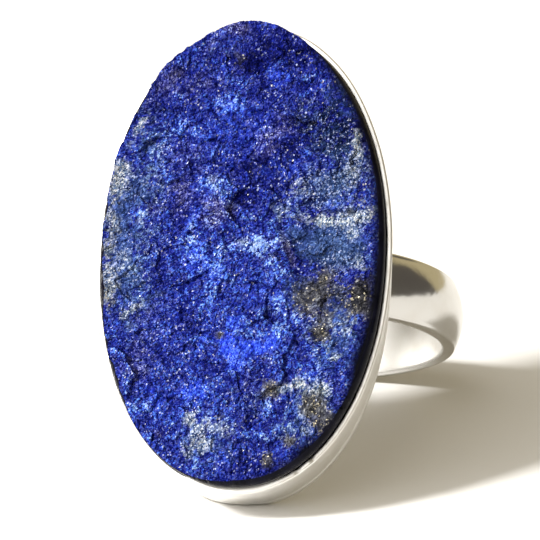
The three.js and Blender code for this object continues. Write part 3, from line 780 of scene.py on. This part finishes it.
def cup(material):
    angle = 2 * math.pi * np.arange(CUP_SEGMENTS) / CUP_SEGMENTS
    pressed = LIP_PRESSED_IN * facing(angle, LIP_PRESSED_FACING, *LIP_PRESSED_ENDS_AT)
    drawn_in = waves(angle, WALL_WAVES) - WALL_DRAWN_IN
    rim_height = rim_unevenness(angle)
    levels = cup_levels()
    rings = [[[0, 0, PLATE_BACK]]]
    for width, length, fullness, height, uneven in levels:
        x, y = oval(width, length, fullness, angle)
        # What lies within the rim's outer edge is pressed in, as far as it is uneven.
        is_pressed = width < OPENING_HALF_WIDTH + RIM_THICKNESS - RIM_ROUNDING
        shift = uneven * (drawn_in - pressed * is_pressed) / np.hypot(x, y)
        z = height + uneven * rim_height
        rings.append(np.stack([x * (1 + shift), y * (1 + shift), z], 1))
    rings.append([[0, 0, PLATE_BACK + PLATE_THICKNESS + FLOOR_OVER_PLATE]])
    numbers = ring_numbers(1, len(levels), CUP_SEGMENTS)
    across = np.arange(len(levels) + 2) / (len(levels) + 1)
    places = map_places(across[1:-1], np.linspace(0, 1, CUP_SEGMENTS + 1))
    faces, uv = grid_faces(numbers, places)
    floor_centre = 1 + len(levels) * CUP_SEGMENTS
    under_faces, under_uv = fan_faces(0, numbers[0], 0, across[1])
    floor_faces, floor_uv = fan_faces(floor_centre, numbers[-1][::-1], 1, across[-2])
    piece = make_piece(
        "silver_bezel_cup",
        np.concatenate(rings),
        faces + under_faces + floor_faces,
        uv + under_uv + floor_uv,
        [material],
    )
    piece.data.set_sharp_from_angle(angle=SHARP_EDGE)
    return piece


# The band. Its two ends lie under the plate and share a line near its map's top.
ENDS_ON_MAP = 0.998


def band_section():
    """Radius and side place round the band: flat inside, low domed outside, soft edges."""
    inner = FINGER_HOLE_DIAMETER / 2
    edge = inner + BAND_EDGE_THICKNESS
    soft = BAND_EDGE_ROUNDING
    flat_half = BAND_WIDTH / 2 - soft
    section = []

    def corner(centre_radius, centre_side, first_turn):
        for step in range(BAND_CORNER_STEPS + 1):
            turn = first_turn + step / BAND_CORNER_STEPS * math.pi / 2
            radius = centre_radius + soft * math.cos(turn)
            section.append((radius, centre_side + soft * math.sin(turn)))

    corner(inner + soft, -flat_half, math.pi)
    corner(edge - soft, -flat_half, -math.pi / 2)
    for across in np.linspace(-1, 1, BAND_DOME_STEPS + 1)[1:-1]:
        dome = (BAND_THICKNESS - BAND_EDGE_THICKNESS) * (1 - across**2)
        section.append((edge + dome, across * flat_half))
    corner(edge - soft, flat_half, 0)
    corner(inner + soft, flat_half, math.pi / 2)
    for across in np.linspace(1, -1, BAND_INSIDE_STEPS + 1)[1:-1]:
        section.append((inner, across * flat_half))
    return np.array(section)


def band(material):
    radius, side = band_section().T
    inner = FINGER_HOLE_DIAMETER / 2
    is_outer = radius > inner + BAND_EDGE_THICKNESS / 2
    end_turn = math.asin(BAND_ENDS_APART / 2 / inner)
    rings = []
    for turn in np.linspace(end_turn, 2 * math.pi - end_turn, BAND_SEGMENTS):
        x = radius * math.sin(turn)
        z = BAND_CENTRE + radius * math.cos(turn)
        near_plate = ease((z - (PLATE_BACK - SOLDER_HEIGHT)) / SOLDER_HEIGHT) ** 2
        x += math.copysign(SOLDER_SPREAD, x[0]) * near_plate * is_outer
        y = side * (1 + SOLDER_WIDENING * near_plate)
        rings.append(np.stack([x, y, np.minimum(z, PLATE_BACK)], 1))
    count = len(radius)
    numbers = ring_numbers(0, BAND_SEGMENTS, count)
    along = np.arange(BAND_SEGMENTS) / BAND_SEGMENTS
    faces, uv = grid_faces(numbers.T, map_places(np.linspace(0, 1, count + 1), along))
    faces.append(numbers[0, :-1].tolist())
    faces.append(numbers[-1, :-1][::-1].tolist())
    uv += 2 * [(0.5 + 0.5 * s / count, ENDS_ON_MAP) for s in range(count)]
    piece = make_piece("silver_finger_band", np.concatenate(rings), faces, uv, [material])
    piece.data.set_sharp_from_angle(angle=SHARP_EDGE)
    return piece


# Shader helpers.
def plug(tree, value, socket):
    """A link into the socket, or a plain value for it."""
    if isinstance(value, bpy.types.NodeSocket):
        tree.links.new(value, socket)
    else:
        socket.default_value = value


def add_node(tree, kind, inputs=None, **settings):
    made = tree.nodes.new(kind)
    for name, value in settings.items():
        setattr(made, name, value)
    for key, value in (inputs or {}).items():
        plug(tree, value, made.inputs[key])
    return made


def calc(tree, operation, a, b=0.0, c=0.0):
    made = add_node(tree, "ShaderNodeMath", {0: a, 1: b, 2: c}, operation=operation)
    return made.outputs[0]


def vector_calc(tree, operation, a, b, output="Vector"):
    made = add_node(tree, "ShaderNodeVectorMath", {0: a, 1: b}, operation=operation)
    return made.outputs[output]


def times(tree, first, *others):
    for other in others:
        first = calc(tree, "MULTIPLY", first, other)
    return first


def plus_share(tree, base, share, source):
    """Base, with a share of the source added."""
    return calc(tree, "MULTIPLY_ADD", source, share, base)


def spread(tree, base, amount, source):
    """Base, made more or less by how far the source is from one half."""
    return plus_share(tree, base, amount, calc(tree, "SUBTRACT", source, 0.5))


def between(tree, value, low, high, to_low=0.0, to_high=1.0):
    """value from low to high, softly, as to_low to to_high."""
    inputs = {"Value": value, 1: low, 2: high, 3: to_low, 4: to_high}
    made = add_node(
        tree, "ShaderNodeMapRange", inputs, interpolation_type="SMOOTHSTEP", clamp=True
    )
    return made.outputs[0]


def layer_colour(tree, mask, under, over):
    made = add_node(tree, "ShaderNodeMix", data_type="RGBA", clamp_factor=True)
    plug(tree, mask, made.inputs[0])
    plug(tree, under, made.inputs[6])
    plug(tree, over, made.inputs[7])
    return made.outputs[2]


def noise(tree, place, scale, detail, rough=0.55, warp=0.0):
    inputs = {
        "Vector": place, "Scale": scale, "Detail": detail, "Roughness": rough,
        "Distortion": warp,
    }
    return add_node(tree, "ShaderNodeTexNoise", inputs).outputs["Fac"]


def ramp(tree, value, stops):
    """stops: (position, colour)."""
    made = add_node(tree, "ShaderNodeValToRGB", {"Fac": value})
    elements = made.color_ramp.elements
    while len(elements) < len(stops):
        elements.new(0.5)
    for element, (position, colour) in zip(elements, stops):
        element.position = position
        element.color = (*colour, 1)
    return made.outputs["Color"]


def new_group(name, inputs, outputs):
    tree = bpy.data.node_groups.new(name, "ShaderNodeTree")
    for label, kind, value in inputs:
        socket = tree.interface.new_socket(
            name=label, in_out="INPUT", socket_type="NodeSocket" + kind
        )
        if value is not None:
            socket.default_value = value
    for label in outputs:
        tree.interface.new_socket(name=label, in_out="OUTPUT", socket_type="NodeSocketFloat")
    given = tree.nodes.new("NodeGroupInput").outputs
    result = tree.nodes.new("NodeGroupOutput").inputs
    return tree, given, result


def use_group(tree, group, **values):
    made = add_node(tree, "ShaderNodeGroup", node_tree=group)
    for label, value in values.items():
        plug(tree, value, made.inputs[label.replace("_", " ")])
    return made.outputs


def crystal_grain_group():
    """Crystal grains: two random shades for each, and a height with each grain tilted."""
    tree, given, result = new_group(
        "crystal grain",
        [("Place", "Vector", None), ("Grain Size", "Float", 0.2), ("Tilt", "Float", 0.5)],
        ["Shade", "Second Shade", "Height"],
    )
    scale = calc(tree, "DIVIDE", 1.0, given["Grain Size"])
    cells = add_node(
        tree, "ShaderNodeTexVoronoi", {"Vector": given["Place"], "Scale": scale},
        feature="F1",
    ).outputs
    from_middle = vector_calc(tree, "SUBTRACT", given["Place"], cells["Position"])
    lean = vector_calc(tree, "SUBTRACT", cells["Color"], (0.5, 0.5, 0.5))
    rise = vector_calc(tree, "DOT_PRODUCT", lean, from_middle, "Value")
    shades = add_node(tree, "ShaderNodeSeparateXYZ", {0: cells["Color"]}).outputs
    plug(tree, shades[2], result["Shade"])
    plug(tree, shades[0], result["Second Shade"])
    plug(tree, times(tree, rise, given["Tilt"]), result["Height"])
    return tree


SCRATCH_SQUEEZE = (14.0, 1.6, 1.6)


def silver_wear_group():
    """Fine handling marks, polish haze and small dings in silver."""
    tree, given, result = new_group(
        "silver wear",
        [
            ("Place", "Vector", None), ("Polish", "Float", 0.12), ("Haze", "Float", 0.1),
            ("Marks", "Float", 0.5),
        ],
        ["Roughness", "Height", "Tarnish"],
    )
    place = given["Place"]
    cloud = noise(tree, place, scale=0.9, detail=4.0, rough=0.6)
    fine = noise(tree, place, scale=9.0, detail=3.0, rough=0.6)
    dings = noise(tree, place, scale=2.4, detail=1.0, rough=0.4)
    squeezed = add_node(
        tree, "ShaderNodeMapping", {"Vector": place, "Scale": SCRATCH_SQUEEZE}
    ).outputs[0]
    scratches = noise(tree, squeezed, scale=2.2, detail=2.0, rough=0.5)
    scratches = between(tree, scratches, 0.66, 0.74)
    rough = plus_share(tree, given["Polish"], given["Haze"], between(tree, cloud, 0.35, 0.75))
    rough = plus_share(tree, rough, 0.08, scratches)
    plug(tree, plus_share(tree, rough, 0.05, fine), result["Roughness"])
    height = times(tree, scratches, -0.1)
    height = plus_share(tree, height, 0.12, fine)
    height = plus_share(tree, height, 1.2, dings)
    plug(tree, times(tree, height, given["Marks"]), result["Height"])
    plug(tree, between(tree, cloud, 0.4, 0.8), result["Tarnish"])
    return tree


CRYSTAL_GRAIN = crystal_grain_group()
SILVER_WEAR = silver_wear_group()


def new_material(name):
    material = bpy.data.materials.new(name)
    material.use_nodes = True
    tree = material.node_tree
    return material, tree, tree.nodes["Principled BSDF"]


def ring_millimetres(tree):
    """The surface's place in ring millimetres."""
    coordinates = tree.nodes.new("ShaderNodeTexCoord")
    place = add_node(
        tree, "ShaderNodeMapping",
        {
            "Vector": coordinates.outputs["Object"],
            "Location": RING.to_translation(),
            "Rotation": (RING_TURN, 0, 0),
            "Scale": (MM, MM, MM),
        },
        vector_type="TEXTURE",
    )
    return place.outputs[0]


def add_relief(tree, shader, height, strength, distance):
    """Small relief in the light; distance is in metres."""
    bump = add_node(
        tree, "ShaderNodeBump", {"Strength": strength, "Distance": distance, "Height": height}
    )
    plug(tree, bump.outputs[0], shader.inputs["Normal"])


# Colours of the face, from deep to bright.
ULTRAMARINE_SHADES = [
    (0.0, (0.0012, 0.002, 0.04)), (0.25, (0.003, 0.006, 0.12)), (0.45, (0.012, 0.021, 0.27)),
    (0.6, (0.027, 0.056, 0.45)), (0.75, (0.05, 0.135, 0.64)), (0.9, (0.12, 0.3, 0.84)),
    (1.0, (0.36, 0.54, 0.95)),
]
VIVID_SHADES = [
    (0.0, (0.005, 0.01, 0.26)), (0.4, (0.019, 0.05, 0.68)), (0.65, (0.075, 0.18, 1.0)),
    (1.0, (0.35, 0.55, 1.0)),
]
TEAL_SHADES = [
    (0.0, (0.006, 0.013, 0.045)), (0.4, (0.03, 0.066, 0.19)), (0.7, (0.1, 0.175, 0.36)),
    (1.0, (0.35, 0.44, 0.56)),
]
CALCITE_SHADES = [
    (0.0, (0.018, 0.034, 0.1)), (0.35, (0.12, 0.185, 0.33)), (0.65, (0.34, 0.42, 0.49)),
    (1.0, (0.85, 0.85, 0.82)),
]
VIOLET_SHADES = [
    (0.0, (0.01, 0.009, 0.045)), (0.4, (0.046, 0.045, 0.19)), (0.7, (0.15, 0.15, 0.38)),
    (1.0, (0.55, 0.53, 0.72)),
]
PYRITE_SHADES = [
    (0.0, (0.005, 0.006, 0.01)), (0.45, (0.052, 0.052, 0.056)), (0.75, (0.18, 0.175, 0.16)),
    (1.0, (0.5, 0.48, 0.43)),
]
FROST_COLOUR = (0.1, 0.115, 0.25, 1)
PALE_SPECK_AND_GLINT_COLOUR = (0.5, 0.56, 0.85, 1)
BRASSY_COLOUR = (0.5, 0.45, 0.33, 1)
# Polished border: the stone's deep navy painted down to near black, partly as shade.
POLISHED_SHADE_COLOUR = (0.0012, 0.0012, 0.0025, 1)

# Grains of the face in millimetres, with the slant and stretch of its flakes. A finish
# starts softly between two of the grains' random shades, and flecks also where the noise
# or a mark lets them. Pale flecks are partly calcite specks and partly painted glints;
# brassy ones are pyrite.
GRAIN_SIZE = 0.2
DUST_SIZE = 0.07
FLAKE_SLANT = math.radians(-40)
FLAKE_STRETCH = 1.25
BASE_SHADE = 0.422
LIGHT_GRAINS = (0.8, 0.84)
GLASSY_GRAINS = (0.72, 0.76)
FROSTED_DUST = (0.5, 0.75)
PALE_SPECKS_AND_GLINTS = {
    "strewn": (0.945, 0.96), "where": (0.45, 0.6), "strength": 1.0,
    "gathered": (0.91, 0.93), "mark": "mottled",
}
BRASSY_FLECKS = {
    "strewn": (0.994, 0.996), "where": (0.45, 0.55), "strength": 0.7,
    "gathered": (0.93, 0.95), "mark": "pyrite",
}


def mark_of(tree, name):
    return add_node(tree, "ShaderNodeAttribute", attribute_name=name).outputs["Fac"]


def lapis_blue(tree, tone_and_shade, middle, sharp, grain, dust):
    """The blue mass, lighter or darker by its tones, noise and grains, and darker by painted
    shade in hollows and along a ledge and a groove. Light places are busier with grains
    than dark ones, and middling ones are frosted."""
    busy = between(tree, tone_and_shade, -0.1, 0.35, 0.6, 1.25)
    light_grains = times(
        tree, between(tree, grain["Second Shade"], *LIGHT_GRAINS), between(tree, tone_and_shade, 0.02, 0.3)
    )
    shade = spread(tree, calc(tree, "ADD", tone_and_shade, BASE_SHADE), 0.4, middle)
    shade = plus_share(tree, shade, busy, sharp)
    shade = plus_share(tree, shade, 0.16, light_grains)
    frosted = times(
        tree,
        between(tree, dust["Second Shade"], *FROSTED_DUST, to_high=0.4),
        between(tree, shade, 0.25, 0.5),
        between(tree, shade, 0.55, 0.8, 1.0, 0.3),
    )
    return layer_colour(tree, frosted, ramp(tree, shade, ULTRAMARINE_SHADES), FROST_COLOUR)


def lay_minerals(tree, colour, tone_and_shade, middle, sharp):
    """The other minerals over the blue, some with sharp grains and some calmer."""
    lively = plus_share(tree, 0.46, 1.35, sharp)
    pale = calc(tree, "ADD", lively, 0.08)
    calm = spread(tree, plus_share(tree, 0.47, 0.6, sharp), 0.6, middle)
    smoky = plus_share(tree, calm, 0.7, tone_and_shade)
    patchy = plus_share(tree, plus_share(tree, 0.35, 1.95, sharp), 0.8, tone_and_shade)
    minerals = (
        ("violet", VIOLET_SHADES, 0.7, lively), ("mottled", TEAL_SHADES, 0.8, patchy),
        ("teal", TEAL_SHADES, 0.85, smoky), ("vivid", VIVID_SHADES, 0.97, calm),
        ("calcite", CALCITE_SHADES, 0.95, pale), ("pyrite", PYRITE_SHADES, 0.97, smoky),
    )
    for name, shades, amount, shade in minerals:
        cover = times(tree, mark_of(tree, name), amount)
        colour = layer_colour(tree, cover, colour, ramp(tree, shade, shades))
    return colour


def flecks(tree, middle, dust, strewn, where, strength, gathered, mark):
    """Bright flecks: a few strewn over the face, and more where a mark lies. The pale ones are partly
    calcite specks and partly painted glints.
    """
    shade = dust["Second Shade"]
    strewn_here = times(
        tree, between(tree, shade, *strewn), between(tree, middle, *where), strength
    )
    gathered_here = times(tree, between(tree, shade, *gathered), mark_of(tree, mark))
    return calc(tree, "MAXIMUM", strewn_here, gathered_here)


def rough_face_material():
    material, tree, shader = new_material("lapis rough face")
    place = ring_millimetres(tree)
    middle = noise(tree, place, scale=1.3, detail=6.0, rough=0.7, warp=0.3)
    small = noise(tree, place, scale=6.5, detail=4.0, rough=0.75)
    flaky = add_node(
        tree, "ShaderNodeMapping",
        {"Vector": place, "Rotation": (0, 0, FLAKE_SLANT), "Scale": (1.0, FLAKE_STRETCH, 1.0)},
        vector_type="TEXTURE",
    ).outputs[0]
    grain = use_group(tree, CRYSTAL_GRAIN, Place=flaky, Grain_Size=GRAIN_SIZE, Tilt=1.2)
    dust = use_group(tree, CRYSTAL_GRAIN, Place=flaky, Grain_Size=DUST_SIZE, Tilt=1.4)
    tone_and_shade = mark_of(tree, "tone_and_shade")
    ground_and_shade = mark_of(tree, "ground_and_shade")
    unpolished = calc(tree, "SUBTRACT", 1.0, ground_and_shade)
    sharp = spread(tree, 0.0, 0.46, small)
    sharp = spread(tree, sharp, 0.2, grain["Shade"])
    sharp = spread(tree, sharp, 0.82, dust["Shade"])

    colour = lapis_blue(tree, tone_and_shade, middle, sharp, grain, dust)
    colour = lay_minerals(tree, colour, tone_and_shade, middle, sharp)
    # Pale flecks: calcite specks, and painted glints.
    pale = flecks(tree, middle, dust, **PALE_SPECKS_AND_GLINTS)
    colour = layer_colour(tree, times(tree, pale, 0.75), colour, PALE_SPECK_AND_GLINT_COLOUR)
    brassy = flecks(tree, middle, dust, **BRASSY_FLECKS)
    colour = layer_colour(tree, brassy, colour, BRASSY_COLOUR)
    # Painted shade, in part: the polished border near black.
    colour = layer_colour(tree, ground_and_shade, colour, POLISHED_SHADE_COLOUR)
    plug(tree, colour, shader.inputs["Base Color"])
    plug(tree, times(tree, brassy, 0.85), shader.inputs["Metallic"])
    plug(tree, between(tree, dust["Shade"], 0.1, 0.9, 0.35, 0.7), shader.inputs["Roughness"])
    shader.inputs["Specular IOR Level"].default_value = 0.03
    glassy = times(
        tree, between(tree, grain["Shade"], *GLASSY_GRAINS), unpolished,
        between(tree, tone_and_shade, -0.1, 0.3, to_low=0.4), 0.8,
    )
    plug(tree, glassy, shader.inputs["Coat Weight"])
    shader.inputs["Coat Roughness"].default_value = 0.22
    height = calc(tree, "ADD", grain["Height"], dust["Height"])
    height = times(tree, plus_share(tree, height, 0.05, small), unpolished)
    add_relief(tree, shader, height, strength=0.85, distance=MM)
    return material


# The polished side, painted near black: partly the stone's deep navy, partly shade on a side turned from
# the light.
def polished_side_in_shade_material():
    material, tree, shader = new_material("lapis polished side")
    place = ring_millimetres(tree)
    cloud = noise(tree, place, scale=1.2, detail=3.0)
    colour = ramp(tree, cloud, [(0.3, (0.002, 0.002, 0.004)), (0.7, (0.006, 0.006, 0.014))])
    plug(tree, colour, shader.inputs["Base Color"])
    plug(tree, between(tree, cloud, 0.3, 0.7, 0.12, 0.2), shader.inputs["Roughness"])
    shader.inputs["Specular IOR Level"].default_value = 0.06
    height = noise(tree, place, scale=5.0, detail=2.0)
    add_relief(tree, shader, height, strength=0.25, distance=0.05 * MM)
    return material


SATIN_EDGE = (0.03, 0.12)
CLEAN_SILVER = (1.0, 0.99, 0.965)
DULL_SILVER = (0.95, 0.925, 0.88)


def inside_hoop(tree, place):
    """1 on the band's inner face, which fingers wear to satin, and 0 elsewhere."""
    split = add_node(tree, "ShaderNodeSeparateXYZ", {0: place}).outputs
    drop = calc(tree, "SUBTRACT", split[2], BAND_CENTRE)
    squares = plus_share(tree, times(tree, drop, drop), split[0], split[0])
    inner = FINGER_HOLE_DIAMETER / 2
    radius = calc(tree, "SQRT", squares)
    return between(tree, radius, inner + SATIN_EDGE[0], inner + SATIN_EDGE[1], 1.0, 0.0)


def silver_material(name, brightness, polish, haze, marks, satin_inside=0.0):
    material, tree, shader = new_material(name)
    place = ring_millimetres(tree)
    wear = use_group(tree, SILVER_WEAR, Place=place, Polish=polish, Haze=haze, Marks=marks)
    clean = [brightness * share for share in CLEAN_SILVER]
    dull = [brightness * share for share in DULL_SILVER]
    colour = layer_colour(tree, wear["Tarnish"], (*clean, 1), (*dull, 1))
    plug(tree, colour, shader.inputs["Base Color"])
    shader.inputs["Metallic"].default_value = 1.0
    rough = wear["Roughness"]
    if satin_inside:
        rough = plus_share(tree, rough, satin_inside, inside_hoop(tree, place))
    plug(tree, rough, shader.inputs["Roughness"])
    add_relief(tree, shader, wear["Height"], strength=0.5, distance=0.02 * MM)
    return material


def table_material():
    material, tree, shader = new_material("pale table")
    coordinates = tree.nodes.new("ShaderNodeTexCoord")
    leather = add_node(
        tree, "ShaderNodeTexVoronoi",
        {"Vector": coordinates.outputs["Object"], "Scale": 900.0}, feature="F1",
    ).outputs["Distance"]
    shader.inputs["Base Color"].default_value = (0.86, 0.855, 0.845, 1)
    shader.inputs["Roughness"].default_value = 0.65
    add_relief(tree, shader, leather, strength=0.15, distance=0.1 * MM)
    return material


# The pieces.
slab = stone(rough_face_material(), polished_side_in_shade_material())
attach(slab, "root")
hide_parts("lapis_stone")

bezel = cup(silver_material("silver cup", brightness=0.84, polish=0.36, haze=0.1, marks=0.2))
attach(bezel, "root")
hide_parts("bezel_cup")

# The band's silver is set darker than the cup's, to dim its reflections of the lit table: painted shade
# on the band.
hoop = band(silver_material(
    "silver band", brightness=0.64, polish=0.12, haze=0.06, marks=0.5, satin_inside=0.24
))
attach(hoop, "root")
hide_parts("ring_band")


# Table, light and camera.
TABLE_HALF_SIZE = 0.6
KEY_LIGHT_FROM = Vector((-0.604, -0.507, 0.616))
KEY_LIGHT_STRENGTH = 4.9
KEY_LIGHT_WIDTH = math.radians(9)
KEY_LIGHT_COLOUR = (1.0, 0.985, 0.96)
CAMERA_RIGHT_OF_FACE = math.radians(9.9)
CAMERA_BELOW_FACE = math.radians(14.1)
CAMERA_ROLL = math.radians(2.5)
CAMERA_DISTANCE = 140.0
IMAGE_SIZE = 540.0
PIXELS_PER_MM = 20.0
RIM_CENTRE_AT = (242.8, 254.9)

# The room's dim light from the floor up, then its walls: where each lies, how near its
# middle its edge is, and its light.
ROOM_SHADES = [
    (0.5, (0.18, 0.155, 0.105)), (0.58, (0.29, 0.245, 0.16)), (0.85, (0.33, 0.285, 0.2)),
    (1.0, (0.42, 0.375, 0.3)),
]
WARM_WALL = (Vector((0.55, 0.78, 0.3)), (0.75, 0.92), (0.62, 0.52, 0.3, 1))
DARK_CORNER = (Vector((0.95, 0.25, 0.2)), (0.88, 0.92), (0.12, 0.106, 0.09, 1))
BRIGHT_WALL = (Vector((-0.35, -0.66, 0.665)), (0.84, 0.95), (2.4, 2.35, 2.25, 1))
BACKDROP_COLOUR = (0.92, 0.91, 0.9, 1)


def table():
    mesh = bpy.data.meshes.new("table")
    h = TABLE_HALF_SIZE
    mesh.from_pydata([(-h, -h, 0), (h, -h, 0), (h, h, 0), (-h, h, 0)], [], [[0, 1, 2, 3]])
    mesh.materials.append(table_material())
    return put_in_scene("table", mesh)


def key_light():
    lamp = bpy.data.lights.new("window", "SUN")
    lamp.energy = KEY_LIGHT_STRENGTH
    lamp.angle = KEY_LIGHT_WIDTH
    lamp.color = KEY_LIGHT_COLOUR
    holder = put_in_scene("window", lamp)
    holder.rotation_mode = "QUATERNION"
    holder.rotation_quaternion = KEY_LIGHT_FROM.to_track_quat("Z", "Y")


def room_light():
    """Dim warm room with a bright wall by the window and a dark corner to the right."""
    world = bpy.data.worlds.new("room")
    world.use_nodes = True
    bpy.context.scene.world = world
    tree = world.node_tree
    shader = tree.nodes["Background"]
    direction = tree.nodes.new("ShaderNodeTexCoord").outputs["Generated"]
    height = add_node(tree, "ShaderNodeSeparateXYZ", {0: direction}).outputs[2]
    colour = ramp(tree, plus_share(tree, 0.5, 0.5, height), ROOM_SHADES)
    for middle, edge, light in (WARM_WALL, DARK_CORNER, BRIGHT_WALL):
        near = vector_calc(tree, "DOT_PRODUCT", direction, middle.normalized(), "Value")
        colour = layer_colour(tree, between(tree, near, *edge), colour, light)
    seen = tree.nodes.new("ShaderNodeLightPath").outputs["Is Camera Ray"]
    plug(tree, layer_colour(tree, seen, colour, BACKDROP_COLOUR), shader.inputs["Color"])
    shader.inputs["Strength"].default_value = 1.0


def camera():
    """The photograph's view: long lens, a little right of and below the face's normal."""
    right_of, below = CAMERA_RIGHT_OF_FACE, CAMERA_BELOW_FACE
    back = Vector((
        math.sin(right_of) * math.cos(below),
        -math.sin(below),
        math.cos(right_of) * math.cos(below),
    ))
    across = Vector((math.cos(right_of), 0, -math.sin(right_of)))
    upward = back.cross(across)
    c, s = math.cos(CAMERA_ROLL), math.sin(CAMERA_ROLL)
    axes = Matrix((c * across + s * upward, -s * across + c * upward, back))
    focal_pixels = PIXELS_PER_MM * CAMERA_DISTANCE
    half = IMAGE_SIZE / 2
    aim = Vector((RIM_CENTRE_AT[0] - half, half - RIM_CENTRE_AT[1], -focal_pixels))
    off_axis = Vector((0, 0, -1)).rotation_difference(aim).to_matrix()
    turn = RING.to_3x3().normalized() @ (off_axis @ axes).transposed()
    data = bpy.data.cameras.new("camera")
    data.sensor_width = 36.0
    data.lens = focal_pixels / IMAGE_SIZE * data.sensor_width
    data.clip_start = 0.01
    data.clip_end = 10.0
    holder = put_in_scene("camera", data)
    holder.matrix_world = Matrix.Translation(RING @ (CAMERA_DISTANCE * back)) @ turn.to_4x4()
    bpy.context.scene.camera = holder


table()
key_light()
room_light()
camera()
bpy.context.scene.view_settings.view_transform = "Standard"
